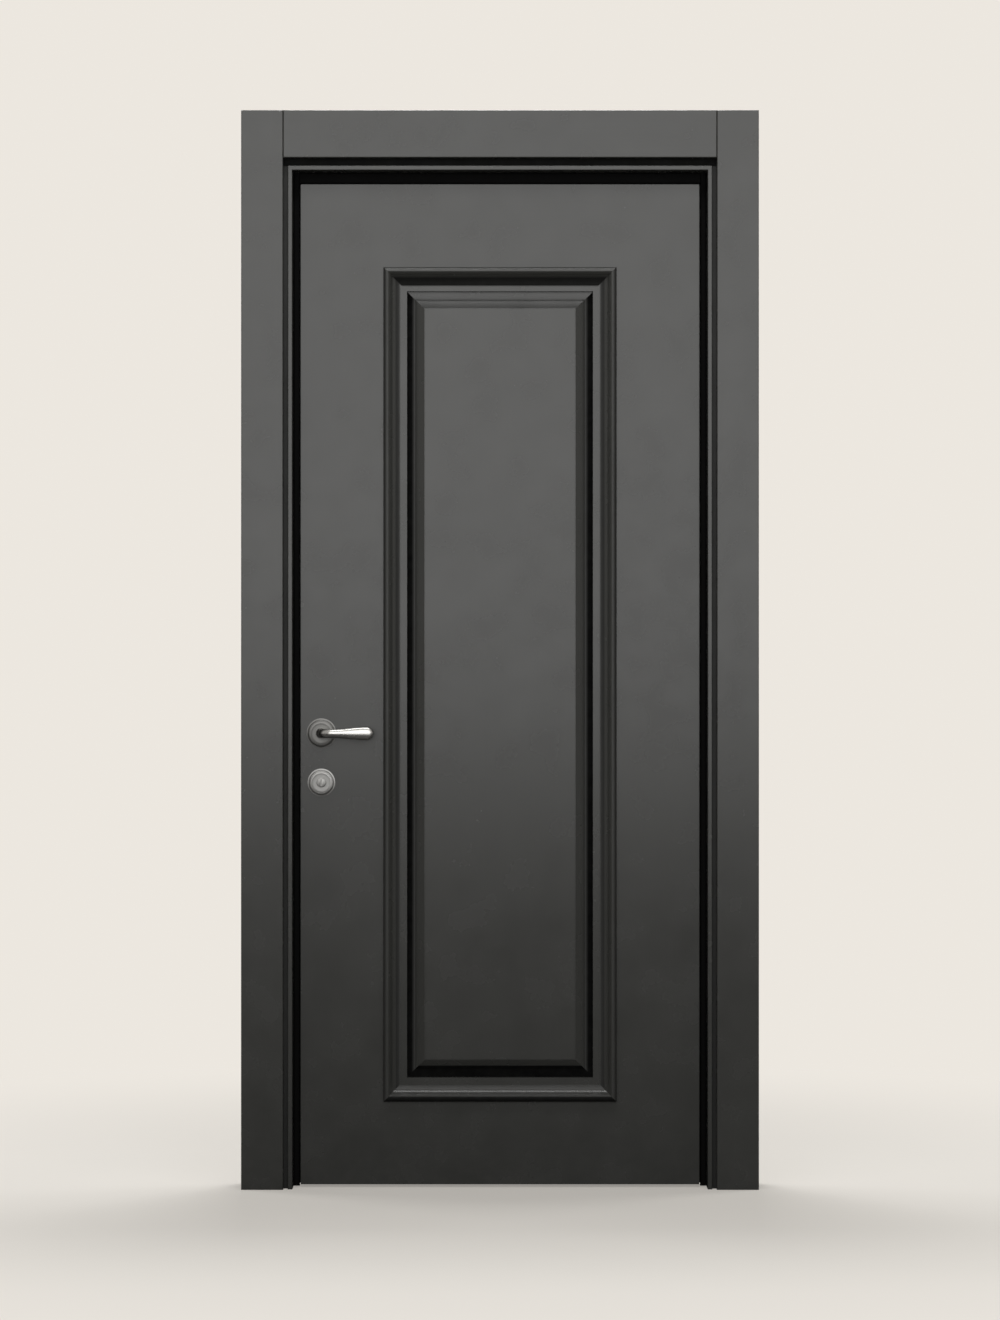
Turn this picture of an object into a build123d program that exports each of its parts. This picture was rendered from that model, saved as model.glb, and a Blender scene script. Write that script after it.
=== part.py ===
from build123d import *
import os
from math import cos, hypot, pi, radians, sin

os.makedirs("parts", exist_ok=True)

# A panelled wooden door in its frame, in millimetres. X runs across the door towards the hinges, Y
# through the wall towards the side the door opens to, and Z up. The origin is on the floor, in the
# middle of the door's width and in the middle of the leaf's thickness.

# Leaf
leaf_face_width = 802
leaf_face_height = 2010
leaf_thickness = 50
floor_gap = 6
lip_depth = 24
lip_clearance = 1
door_gap = 4

# Frame lining
side_seal_gap = 15
head_seal_gap = 25
stop_width = 12
jamb_thickness = 32
wall_thickness = 75
nose_width = 9
nose_projection = 8
nose_radius = 1.5
side_reveal = 9
head_reveal = 15
quirk_depth = 6

# Casings
side_casing_width = 84
head_casing_height = 95
casing_thickness = 16
casing_edge_radius = 2
back_reveal = 10
tongue_inset = 33
tongue_thickness = 5
front_tongue_length = 14
back_tongue_length = 10
tongue_clearance = 0.2
casing_relief_depth = 1.5
casing_relief_clearance = 1

# Seals
seal_leaf_clearance = 2
seal_lip_clearance = 0.3
seal_depth = 16
seal_wall = 1.6
seal_corner_radius = 4
seal_stem_thickness = 2.6
seal_stem_length = 5.5
seal_stem_inset = 4
seal_slot_clearance = 0.2
seal_floor_gap = 2

# Frame fixing holes through the side linings, behind the seals
fixing_hole_radius = 3
fixing_hole_inset = 5
fixing_centre_height = 1050
outer_fixing_spacing = 1700
inner_fixing_spacing = 600

# Framing of the leaf
moulding_margin = 167
moulding_overlap = 15
panel_groove_depth = 12
panel_tongue_thickness = 12
panel_groove_clearance = 0.3
panel_edge_clearance = 1.5
tenon_length = 48
tenon_thickness = 12
tenon_clearance = 0.15
tenon_setback = 26
leaf_edge_radius = 1

# Bolection moulding: outward bead, cove and flat inner fillet
moulding_width = 47
bead_foot = 4
bead_height = 12
bead_crest_inset = 5.5
bead_width = 12.5
bead_heel = 8.5
cove_start_inset = 14
cove_start_height = 7
cove_middle_inset = 21.5
cove_middle_height = -1.2
cove_end_inset = 33
cove_end_height = -4
fillet_height = -5.5
moulding_back_clearance = 0.4
moulding_edge_clearance = 0.2

# Raised and fielded panel
panel_channel_width = 16
panel_bevel_width = 19
panel_bevel_rise = 10
field_step_width = 2
field_step_rise = 2

# Butt hinges
hinge_heights = [240, 1030, 1820]
hinge_length = 110
hinge_plate_thickness = 2.5
hinge_plate_inset = 3
knuckle_count = 3
knuckle_radius = 7
knuckle_gap = 0.4
hinge_web_stop_share = 0.6
hinge_pin_radius = 4
hinge_pin_clearance = 0.05
hinge_pin_head_height = 5
hinge_pin_head_radius = 5.5
hinge_back_clearance = 0.5
hinge_screw_spacing = 38
hinge_screw_inset = 9
recess_clearance = 0.1

# Wood screws
screw_radius = 2
screw_head_radius = 4
screw_head_rim = 0.3
screw_length = 25
screw_pilot_clearance = 0.1
screw_seat_clearance = 0.1
pilot_end_clearance = 1

# Flats that stand in for the round of small parts
screw_flats = 8
round_flats = 16
disc_flats = 32

# Mortise lock
lever_height = 913
turn_below_lever = 99
backset = 65
forend_thickness = 3
forend_width = 20
lock_plate_length = 235
forend_rise = 2
forend_screw_inset = 9
case_depth = 88
case_width = 15
case_wall = 1.5
case_above_lever = 47
case_below_turn = 26
case_play = 0.5
bolt_play = 0.2
window_play = 0.3
post_radius = 3.2
rivet_radius = 2
rivet_clearance = 0.1

# Latch, its follower and its spring
handle_travel = 40
latch_throw = 12
latch_height = 26
latch_length = 28
latch_tip_flat = 1.5
latch_bar_height = 5
latch_bar_thickness = 4
latch_lug_width = 4
latch_lug_drop = 10.5
latch_guide_inset = 46
follower_boss_radius = 8
follower_arm_width = 6
follower_arm_clearance = 0.6
boss_clearance = 0.05
spring_folds = 4
spring_strip_thickness = 0.6
spring_strip_width = 8
spring_height = 7
spring_seat_gap = 0.3

# Deadbolt and its follower
turn_travel = 90
deadbolt_throw = 20
deadbolt_height = 22
deadbolt_length = 28
deadbolt_above_turn = 30
deadbolt_tail_thickness = 4
fork_leg_width = 4
fork_clearance = 0.7
fork_leg_above_turn = 9.3
guide_stud_radius = 2.2
guide_stud_inset = 46
guide_stud_play = 0.3
turn_boss_radius = 6
turn_arm_width = 3
turn_tip_radius = 2.5

# Strike plate
strike_thickness = 2.5
strike_front_inset = 3
strike_window_play = 1
latch_pocket_depth = 12
deadbolt_pocket_depth = 18

# Furniture
rose_radius = 27
rose_thickness = 8
rose_edge_chamfer = 2
escutcheon_radius = 25
fixing_bolt_offset = 19
fixing_bolt_radius = 2
fixing_bolt_head_radius = 3.8
fixing_bolt_depth_in_rose = 5
fixing_bolt_clearance = 0.2
spindle_width = 8
spindle_clearance = 0.05
spindle_bore_radius = 11
neck_radius = 10
neck_clearance = 0.1
neck_end_gap = 1
neck_length = 24
bend_radius = 22
grip_start_height = 17
grip_end_height = 26
grip_thickness = 11
grip_edge_chamfer = 3
grip_flare_flats = 5
grip_end_flats = 8
lever_reach = 105
turn_spindle_width = 6
release_radius = 9
release_projection = 1
coin_slot_width = 1.8
coin_slot_depth = 2.5
coin_slot_length = 13
thumb_collar_projection = 4
thumb_knob_length = 34
thumb_knob_width = 9
thumb_knob_projection = 16
thumb_knob_chamfer = 2
thumb_knob_corner = 2.6

# Places that follow from the sizes, across the door
leaf_half = leaf_face_width / 2
opening_half = leaf_half + side_seal_gap
rebate_half = opening_half + stop_width
lip_half = rebate_half - door_gap
jamb_outer_half = rebate_half + jamb_thickness
front_casing_inner = opening_half + nose_width + side_reveal
casing_outer = front_casing_inner + side_casing_width
back_casing_inner = rebate_half + back_reveal

# Up the door
leaf_top = floor_gap + leaf_face_height
opening_height = leaf_top + head_seal_gap
rebate_height = opening_height + stop_width
lip_top = rebate_height - door_gap
front_head_bottom = opening_height + nose_width + head_reveal
overall_height = front_head_bottom + head_casing_height
back_head_bottom = rebate_height + back_reveal

# Through the wall
leaf_front = -leaf_thickness / 2
leaf_back = leaf_thickness / 2
lip_front = leaf_back - lip_depth
stop_back = lip_front - lip_clearance
wall_back = leaf_back
wall_front = wall_back - wall_thickness
nose_front = wall_front - nose_projection
front_casing_face = wall_front - casing_thickness
back_casing_face = wall_back + casing_thickness
seal_back = lip_front - seal_lip_clearance
seal_front = seal_back - seal_depth
slot_front = seal_front + seal_stem_inset - seal_slot_clearance
slot_back = slot_front + seal_stem_thickness + 2 * seal_slot_clearance
slot_depth = seal_stem_length + seal_slot_clearance

# Moulding rectangle and the framing behind it
moulding_half = leaf_half - moulding_margin
moulding_bottom = floor_gap + moulding_margin
moulding_top = leaf_top - moulding_margin
stile_inner = moulding_half - moulding_overlap
bottom_rail_top = moulding_bottom + moulding_overlap
top_rail_bottom = moulding_top - moulding_overlap

# Hinge and lock places
pin_x = (rebate_half + lip_half) / 2
pin_y = leaf_back + knuckle_radius + hinge_back_clearance
lock_y = (lip_front + leaf_back) / 2
lever_x = -lip_half + backset
turn_height = lever_height - turn_below_lever
forend_centre = (lever_height + turn_height) / 2 + forend_rise
case_front_x = -lip_half + forend_thickness
case_back_x = case_front_x + case_depth
case_top = lever_height + case_above_lever
case_bottom = turn_height - case_below_turn
case_inside = case_width - 2 * case_wall
bolt_thickness = case_inside - 2 * bolt_play
follower_thickness = case_inside - 3 * bolt_play
arm_tip_radius = follower_arm_width / 2
arm_reach = latch_throw / sin(radians(handle_travel))
latch_bar_bottom = lever_height + arm_reach + arm_tip_radius + follower_arm_clearance
latch_centre = latch_bar_bottom + latch_bar_height / 2
turn_arm_reach = deadbolt_throw / 2 / sin(radians(turn_travel / 2))
deadbolt_centre = turn_height + deadbolt_above_turn
bolt_holes = [
    (lever_x + side * fixing_bolt_offset, height)
    for height in (lever_height, turn_height)
    for side in (-1, 1)
]


# Helpers


def lining_plane(outward, origin):
    """Section plane whose first axis points out of the opening and whose second is +Y."""
    normal = Vector(outward).cross(Vector(0, 1, 0))
    return Plane(origin=origin, x_dir=outward, z_dir=normal)


def lining_outline(reveal):
    """Section of the frame lining: distance out of the opening, then place through the wall."""
    shoulder = nose_width + reveal
    outer = stop_width + jamb_thickness
    groove_start = tongue_inset - tongue_clearance
    groove_end = tongue_inset + tongue_thickness + tongue_clearance
    front_groove = wall_front + front_tongue_length + tongue_clearance
    back_groove = wall_back - back_tongue_length - tongue_clearance
    return [
        (0, nose_front),
        (nose_width, nose_front),
        (nose_width, wall_front + quirk_depth),
        (shoulder, wall_front + quirk_depth),
        (shoulder, wall_front),
        (groove_start, wall_front),
        (groove_start, front_groove),
        (groove_end, front_groove),
        (groove_end, wall_front),
        (outer, wall_front),
        (outer, wall_back),
        (groove_end, wall_back),
        (groove_end, back_groove),
        (groove_start, back_groove),
        (groove_start, wall_back),
        (stop_width, wall_back),
        (stop_width, stop_back),
        (0, stop_back),
        (0, slot_back),
        (slot_depth, slot_back),
        (slot_depth, slot_front),
        (0, slot_front),
    ]


def lining_run(plane, reveal, length, run_axis):
    """One straight length of the lining, centred on its plane, with the nose rounded."""
    with BuildPart() as run:
        with BuildSketch(plane):
            with BuildLine():
                Polyline(lining_outline(reveal), close=True)
            make_face()
        extrude(amount=length / 2, both=True)
        fillet(run.edges().filter_by(run_axis).group_by(Axis.Y)[0], nose_radius)
    return run.part


def casing(width, length, face_y, wall_y, tongue_from, tongue_length, tongue_run):
    """A flat casing board lying along +Z, its inner edge on the plane X = 0.

    Its back has the tongue that enters the lining, and beside it a shallow relief up to the wall,
    so that the part of the board outside the relief lies flat on the wall's face.
    """
    into_wall = 1 if wall_y > face_y else -1
    with BuildPart() as board:
        with Locations((width / 2, (face_y + wall_y) / 2, length / 2)):
            Box(width, casing_thickness, length)
        face_edges = board.faces().filter_by(Axis.Y).sort_by(Axis.Y)[0 if into_wall > 0 else -1]
        fillet(face_edges.edges(), casing_edge_radius)
        with Locations((tongue_from + tongue_thickness / 2, wall_y + into_wall * tongue_length / 2, 0)):
            Box(
                tongue_thickness,
                tongue_length,
                tongue_run,
                align=(Align.CENTER, Align.CENTER, Align.MIN),
            )
        relief_start = tongue_from + tongue_thickness
        relief_end = tongue_from + jamb_outer_half - opening_half - tongue_inset + casing_relief_clearance
        with Locations(((relief_start + relief_end) / 2, wall_y, length / 2)):
            Box(relief_end - relief_start, 2 * casing_relief_depth, length, mode=Mode.SUBTRACT)
    return board.part


def seal_hollow(width, depth):
    """In a sketch, the hollow of a seal: a rectangle with its corners cut off."""
    cut = seal_corner_radius - seal_wall
    corners = [(width / 2 - cut, depth / 2), (width / 2, depth / 2 - cut)]
    quarters = [(1, 1, 1), (1, -1, -1), (-1, -1, 1), (-1, 1, -1)]
    outline = [(x * a, z * b) for a, b, order in quarters for x, z in corners[::order]]
    return Polygon(outline, align=None, mode=Mode.SUBTRACT)


def seal(plane, width, length):
    """A hollow rubber seal with the stem that holds it in its slot, centred on its plane."""
    with BuildPart() as strip:
        with BuildSketch(plane):
            with Locations((-width / 2, (seal_front + seal_back) / 2)):
                RectangleRounded(width, seal_depth, seal_corner_radius)
            with Locations((seal_stem_length / 2, (slot_front + slot_back) / 2)):
                Rectangle(seal_stem_length, seal_stem_thickness)
            with Locations((-seal_corner_radius / 2, (slot_front + slot_back) / 2)):
                Rectangle(seal_corner_radius, seal_stem_thickness)
            with Locations((-width / 2, (seal_front + seal_back) / 2)):
                seal_hollow(width - 2 * seal_wall, seal_depth - 2 * seal_wall)
        extrude(amount=length / 2, both=True)
    return strip.part


def moulding_length(start, end, inward, face):
    """One mitred length of bolection moulding along the leaf's front (-1) or back (1) face."""
    start = Vector(*start)
    end = Vector(*end)
    along = (end - start).normalized()
    inward = Vector(*inward)
    away = Vector(0, face, 0)
    surface = Vector(0, face * leaf_thickness / 2, 0)
    back = panel_tongue_thickness / 2 - leaf_thickness / 2 + moulding_back_clearance
    rebate = moulding_overlap + moulding_edge_clearance
    with BuildPart() as length:
        plane = Plane(origin=(start + end) / 2 + surface, x_dir=inward, z_dir=inward.cross(away))
        with BuildSketch(plane):
            with BuildLine():
                Line((0, 0), (0, bead_foot))
                ThreePointArc((0, bead_foot), (bead_crest_inset, bead_height), (bead_width, bead_heel))
                Line((bead_width, bead_heel), (cove_start_inset, cove_start_height))
                ThreePointArc(
                    (cove_start_inset, cove_start_height),
                    (cove_middle_inset, cove_middle_height),
                    (cove_end_inset, cove_end_height),
                )
                Polyline(
                    (cove_end_inset, cove_end_height),
                    (cove_end_inset, fillet_height),
                    (moulding_width, fillet_height),
                    (moulding_width, back),
                    (rebate, back),
                    (rebate, 0),
                    (0, 0),
                )
            make_face()
        extrude(amount=(end - start).length / 2, both=True)
        split(bisect_by=Plane(origin=start, z_dir=along - inward), keep=Keep.TOP)
        split(bisect_by=Plane(origin=end, z_dir=-along - inward), keep=Keep.TOP)
    return length.part


def round_hole(radius):
    """In a sketch, a round hole whose flats touch the circle of this radius from outside."""
    return RegularPolygon(radius, round_flats, major_radius=False, mode=Mode.SUBTRACT)


def hinge_half(height, edge, outward, knuckles):
    """One half of a butt hinge: its plate against an edge, and its share of the knuckles."""
    pitch = hinge_length / knuckle_count
    plate_depth = leaf_back - hinge_plate_front
    plate_x = edge + outward * hinge_plate_thickness / 2
    web_end = pin_y - knuckle_radius * hinge_web_stop_share
    with BuildPart() as half:
        with Locations((plate_x, leaf_back - plate_depth / 2, height)):
            Box(hinge_plate_thickness, plate_depth, hinge_length)
        for index in knuckles:
            low = height - hinge_length / 2 + index * pitch + knuckle_gap / 2
            with BuildSketch(Plane.XY.offset(low)):
                with Locations((pin_x, pin_y)):
                    RegularPolygon(knuckle_radius, round_flats)
                with Locations((plate_x, (leaf_back + web_end) / 2)):
                    Rectangle(hinge_plate_thickness, web_end - leaf_back)
                with Locations((pin_x, pin_y)):
                    round_hole(hinge_pin_radius + hinge_pin_clearance)
            extrude(amount=pitch - knuckle_gap)
        add(screw_seats(hinge_screw_planes(height, edge, outward)), mode=Mode.SUBTRACT)
    return half.part


def hinge_screw_planes(height, edge, outward):
    """Screw places of one hinge plate, each plane facing into the wood."""
    return [
        Plane(
            origin=(edge, hinge_screw_y, height + step * hinge_screw_spacing),
            x_dir=(0, 1, 0),
            z_dir=(outward, 0, 0),
        )
        for step in (-1, 0, 1)
    ]


def screws(planes, radius, head_radius, length):
    """Countersunk screws, one for each plane, their heads flush with it."""
    sink = head_radius - radius
    inward = Axis(planes[0].origin, planes[0].z_dir)
    with BuildPart() as group:
        with BuildSketch(*planes):
            RegularPolygon(head_radius, screw_flats)
        extrude(amount=screw_head_rim + sink)
        inner_ends = group.faces().sort_by(inward)[-len(planes):]
        chamfer(inner_ends.edges(), sink)
        with BuildSketch(*planes):
            RegularPolygon(radius, screw_flats)
        extrude(amount=length)
    return group.part


def screw_seats(planes):
    """Tool solids for the countersunk holes of a plate that wood screws hold."""
    seat_radius = screw_radius + screw_seat_clearance
    return screws(planes, seat_radius, screw_head_radius + screw_seat_clearance, screw_length)


def drill(planes, radius, depth):
    """Tool solids for the wood screws' pilot holes, sunk behind each plane."""
    with BuildPart() as tool:
        with BuildSketch(*planes):
            RegularPolygon(radius, screw_flats)
        extrude(amount=depth)
    return tool.part


def cross_bore(places, radius, low_y, high_y):
    """Tool solids for bearings through the leaf's thickness, their flats touching the round from outside."""
    with BuildPart() as tool:
        with BuildSketch(Plane.XZ.offset(-high_y)):
            with Locations(*places):
                RegularPolygon(radius, round_flats, major_radius=False)
        extrude(amount=high_y - low_y)
    return tool.part


def cross_stud(places, radius, low_y, high_y):
    """Studs or bolt holes through the leaf's thickness, at (X, Z) places."""
    with BuildPart() as stud:
        with BuildSketch(Plane.XZ.offset(-high_y)):
            with Locations(*places):
                RegularPolygon(radius, screw_flats)
        extrude(amount=high_y - low_y)
    return stud.part


hinge_plate_front = lip_front + hinge_plate_inset - lip_clearance
hinge_screw_y = lip_front + hinge_screw_inset
pilot_radius = screw_radius + screw_pilot_clearance
pilot_depth = screw_length + pilot_end_clearance

# Frame lining: hinge side, lock side and head, mitred at the top corners
hinge_side = lining_plane((1, 0, 0), (opening_half, 0, opening_height / 2))
lock_side = lining_plane((-1, 0, 0), (-opening_half, 0, opening_height / 2))
head_side = lining_plane((0, 0, 1), (0, 0, opening_height))
lining_width = stop_width + jamb_thickness
mitre_corner = (opening_half, 0, opening_height)
mitre_corner_lock = (-opening_half, 0, opening_height)
fixing_y = stop_back - fixing_hole_inset
fixing_heights = [
    fixing_centre_height + side * spacing / 2
    for spacing in (outer_fixing_spacing, inner_fixing_spacing)
    for side in (-1, 1)
]


def fixing_holes(side):
    """Tool solids for the frame screws' holes through the lining on one side."""
    with BuildPart() as tool:
        with BuildSketch(Plane(origin=(side * opening_half, 0, 0), x_dir=(0, 1, 0), z_dir=(side, 0, 0))):
            with Locations(*[(fixing_y, side * height) for height in fixing_heights]):
                Circle(fixing_hole_radius)
        extrude(amount=lining_width)
    return tool.part


with BuildPart() as hinge_jamb:
    add(lining_run(hinge_side, side_reveal, opening_height + 2 * lining_width, Axis.Z))
    split(bisect_by=Plane(origin=mitre_corner, z_dir=(1, 0, -1)), keep=Keep.TOP)
    split(bisect_by=Plane.XY, keep=Keep.TOP)
    for height in hinge_heights:
        with Locations((rebate_half, wall_back, height)):
            Box(
                2 * (hinge_plate_thickness + recess_clearance),
                2 * (wall_back - hinge_plate_front + recess_clearance),
                hinge_length + 2 * recess_clearance,
                mode=Mode.SUBTRACT,
            )
        add(drill(hinge_screw_planes(height, rebate_half, 1), pilot_radius, pilot_depth), mode=Mode.SUBTRACT)
    add(fixing_holes(1), mode=Mode.SUBTRACT)
hinge_jamb.part.label = "hinge_jamb"
export_step(hinge_jamb.part, "parts/hinge_jamb.step")

# Places of the bolts' pockets and of the strike's screws in the lock jamb
strike_front = lip_front + strike_front_inset - lip_clearance
strike_windows = {
    "latch": (latch_centre, latch_height, latch_pocket_depth),
    "deadbolt": (deadbolt_centre, deadbolt_height, deadbolt_pocket_depth),
}
strike_screw_heights = [
    forend_centre - lock_plate_length / 2 + 2 * screw_head_radius,
    (latch_centre + deadbolt_centre) / 2,
    forend_centre + lock_plate_length / 2 - 2 * screw_head_radius,
]
strike_screw_planes = [
    Plane(origin=(-rebate_half, lock_y, z), x_dir=(0, 1, 0), z_dir=(-1, 0, 0)) for z in strike_screw_heights
]

with BuildPart() as lock_jamb:
    add(lining_run(lock_side, side_reveal, opening_height + 2 * lining_width, Axis.Z))
    split(bisect_by=Plane(origin=mitre_corner_lock, z_dir=(-1, 0, -1)), keep=Keep.TOP)
    split(bisect_by=Plane.XY, keep=Keep.TOP)
    with Locations((-rebate_half, wall_back, forend_centre)):
        Box(
            2 * (strike_thickness + recess_clearance),
            2 * (wall_back - strike_front + recess_clearance),
            lock_plate_length + 2 * recess_clearance,
            mode=Mode.SUBTRACT,
        )
    for centre, tall, depth in strike_windows.values():
        with Locations((-rebate_half, lock_y, centre)):
            Box(
                2 * depth,
                bolt_thickness + 2 * strike_window_play,
                tall + 2 * strike_window_play,
                mode=Mode.SUBTRACT,
            )
    add(drill(strike_screw_planes, pilot_radius, pilot_depth), mode=Mode.SUBTRACT)
    add(fixing_holes(-1), mode=Mode.SUBTRACT)
lock_jamb.part.label = "lock_jamb"
export_step(lock_jamb.part, "parts/lock_jamb.step")

with BuildPart() as head_jamb:
    add(lining_run(head_side, head_reveal, 2 * (opening_half + lining_width), Axis.X))
    split(bisect_by=Plane(origin=mitre_corner, z_dir=(-1, 0, 1)), keep=Keep.TOP)
    split(bisect_by=Plane(origin=mitre_corner_lock, z_dir=(1, 0, 1)), keep=Keep.TOP)
head_jamb.part.label = "head_jamb"
export_step(head_jamb.part, "parts/head_jamb.step")

# Casings: two side boards and a head board between them, on both faces of the wall
casing_faces = {
    "front": (front_casing_face, wall_front, front_casing_inner, front_head_bottom, front_tongue_length),
    "back": (back_casing_face, wall_back, back_casing_inner, back_head_bottom, back_tongue_length),
}
for face_name, (face_y, wall_y, inner, head_bottom, tongue_length) in casing_faces.items():
    tongue_x = opening_half + tongue_inset
    side_tongue_run = opening_height + tongue_inset - tongue_thickness
    for side_name, side in (("left", -1), ("right", 1)):
        with BuildPart() as side_casing:
            board = casing(
                casing_outer - inner,
                overall_height,
                face_y,
                wall_y,
                tongue_x - inner,
                tongue_length,
                side_tongue_run,
            )
            board = board.moved(Location((inner, 0, 0)))
            add(board if side > 0 else mirror(board, about=Plane.YZ, mode=Mode.PRIVATE))
        side_casing.part.label = f"{face_name}_casing_{side_name}"
        export_step(side_casing.part, f"parts/{face_name}_casing_{side_name}.step")
    with BuildPart() as head_casing:
        board = casing(
            overall_height - head_bottom,
            2 * inner,
            face_y,
            wall_y,
            opening_height + tongue_inset - head_bottom,
            tongue_length,
            2 * inner,
        )
        turn = Plane(origin=(-inner, 0, head_bottom), x_dir=(0, 0, 1), z_dir=(1, 0, 0))
        add(mirror(board, about=Plane.XZ, mode=Mode.PRIVATE).moved(turn.location))
    head_casing.part.label = f"{face_name}_casing_head"
    export_step(head_casing.part, f"parts/{face_name}_casing_head.step")

# Black seals in the slots of the lining
side_seal_width = side_seal_gap - seal_leaf_clearance
head_seal_width = head_seal_gap - seal_leaf_clearance
for seal_name, direction in (("left", -1), ("right", 1)):
    seal_run = opening_height - seal_floor_gap
    seal_plane = lining_plane((direction, 0, 0), (direction * opening_half, 0, seal_floor_gap + seal_run / 2))
    with BuildPart() as side_seal:
        add(seal(seal_plane, side_seal_width, seal_run))
    side_seal.part.label = f"gasket_{seal_name}"
    export_step(side_seal.part, f"parts/gasket_{seal_name}.step")

with BuildPart() as gasket_head:
    add(seal(head_side, head_seal_width, 2 * (opening_half - side_seal_width)))
gasket_head.part.label = "gasket_head"
export_step(gasket_head.part, "parts/gasket_head.step")

# Strike plate and its screws
with BuildPart() as strike_plate:
    strike_width = wall_back - strike_front
    with Locations((-rebate_half - strike_thickness / 2, wall_back - strike_width / 2, forend_centre)):
        Box(strike_thickness, strike_width, lock_plate_length)
    for centre, tall, depth in strike_windows.values():
        with Locations((-rebate_half, lock_y, centre)):
            Box(
                3 * strike_thickness,
                bolt_thickness + strike_window_play,
                tall + strike_window_play,
                mode=Mode.SUBTRACT,
            )
    add(screw_seats(strike_screw_planes), mode=Mode.SUBTRACT)
strike_plate.part.label = "strike_plate"
export_step(strike_plate.part, "parts/strike_plate.step")

with BuildPart() as strike_screws:
    add(screws(strike_screw_planes, screw_radius, screw_head_radius, screw_length))
strike_screws.part.label = "strike_screws"
export_step(strike_screws.part, "parts/strike_screws.step")

# Butt hinges: frame halves with two knuckles, leaf halves with one, and their pins
for hinge_name, height in zip(("bottom", "middle", "top"), hinge_heights):
    with BuildPart() as frame_plate:
        add(hinge_half(height, rebate_half, 1, range(0, knuckle_count, 2)))
    frame_plate.part.label = f"hinge_frame_plate_{hinge_name}"
    export_step(frame_plate.part, f"parts/hinge_frame_plate_{hinge_name}.step")

    with BuildPart() as leaf_plate:
        add(hinge_half(height, lip_half, -1, range(1, knuckle_count, 2)))
    leaf_plate.part.label = f"hinge_leaf_plate_{hinge_name}"
    export_step(leaf_plate.part, f"parts/hinge_leaf_plate_{hinge_name}.step")

with BuildPart() as hinge_pins:
    for height in hinge_heights:
        with BuildSketch(Plane.XY.offset(height - hinge_length / 2)):
            with Locations((pin_x, pin_y)):
                RegularPolygon(hinge_pin_radius, round_flats)
        extrude(amount=hinge_length)
        with BuildSketch(Plane.XY.offset(height + hinge_length / 2)):
            with Locations((pin_x, pin_y)):
                RegularPolygon(hinge_pin_head_radius, round_flats)
        extrude(amount=hinge_pin_head_height)
hinge_pins.part.label = "hinge_pins"
export_step(hinge_pins.part, "parts/hinge_pins.step")

with BuildPart() as hinge_frame_screws:
    for height in hinge_heights:
        add(screws(hinge_screw_planes(height, rebate_half, 1), screw_radius, screw_head_radius, screw_length))
hinge_frame_screws.part.label = "hinge_frame_screws"
export_step(hinge_frame_screws.part, "parts/hinge_frame_screws.step")

with BuildPart() as hinge_leaf_screws:
    for height in hinge_heights:
        add(screws(hinge_screw_planes(height, lip_half, -1), screw_radius, screw_head_radius, screw_length))
hinge_leaf_screws.part.label = "hinge_leaf_screws"
export_step(hinge_leaf_screws.part, "parts/hinge_leaf_screws.step")


# Leaf framing


def stile(side):
    """A stile of the leaf with its closing lip, panel groove and mortises, before any fittings."""
    mortise_thickness = tenon_thickness + 2 * tenon_clearance
    with BuildPart() as post:
        with BuildSketch(Plane.XY.offset(floor_gap)):
            with BuildLine():
                Polyline(
                    (stile_inner, leaf_front),
                    (leaf_half, leaf_front),
                    (leaf_half, lip_front),
                    (lip_half, lip_front),
                    (lip_half, leaf_back),
                    (stile_inner, leaf_back),
                    close=True,
                )
            make_face()
        extrude(amount=lip_top - floor_gap)
        with Locations((stile_inner, leaf_front, leaf_top)):
            Box(
                lip_half - stile_inner,
                lip_front - leaf_front,
                lip_top - leaf_top,
                align=(Align.MIN, Align.MIN, Align.MIN),
                mode=Mode.SUBTRACT,
            )
        fillet(post.edges().group_by(Axis.Y)[0].sort_by(Axis.X)[-1], leaf_edge_radius)
        groove_top = top_rail_bottom + panel_groove_depth
        groove_bottom = bottom_rail_top - panel_groove_depth
        with Locations((stile_inner, 0, (groove_top + groove_bottom) / 2)):
            Box(
                2 * panel_groove_depth,
                panel_tongue_thickness + panel_groove_clearance,
                groove_top - groove_bottom,
                mode=Mode.SUBTRACT,
            )
        for low, high in tenon_spans:
            with Locations((stile_inner, 0, (low + high) / 2)):
                Box(
                    2 * (tenon_length + tenon_clearance),
                    mortise_thickness,
                    high - low + 2 * tenon_clearance,
                    mode=Mode.SUBTRACT,
                )
    return post.part if side > 0 else mirror(post.part, about=Plane.YZ, mode=Mode.PRIVATE)


def rail(low, high, lip_high, groove_edge, span):
    """A rail of the leaf between the stiles, with its tenons and the groove for the panel."""
    with BuildPart() as beam:
        with Locations((0, 0, (low + high) / 2)):
            Box(2 * stile_inner, leaf_thickness, high - low)
        if lip_high > high:
            with Locations((0, (lip_front + leaf_back) / 2, (high + lip_high) / 2)):
                Box(2 * stile_inner, lip_depth, lip_high - high)
        with Locations((0, 0, groove_edge)):
            Box(
                2 * stile_inner,
                panel_tongue_thickness + panel_groove_clearance,
                2 * panel_groove_depth,
                mode=Mode.SUBTRACT,
            )
        for side in (-1, 1):
            with Locations((side * (stile_inner + tenon_length / 2), 0, (span[0] + span[1]) / 2)):
                Box(tenon_length, tenon_thickness, span[1] - span[0])
    return beam.part


bottom_tenon = (floor_gap + tenon_setback, bottom_rail_top - tenon_setback)
top_tenon = (top_rail_bottom + tenon_setback, leaf_top - tenon_setback)
tenon_spans = [bottom_tenon, top_tenon]

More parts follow.
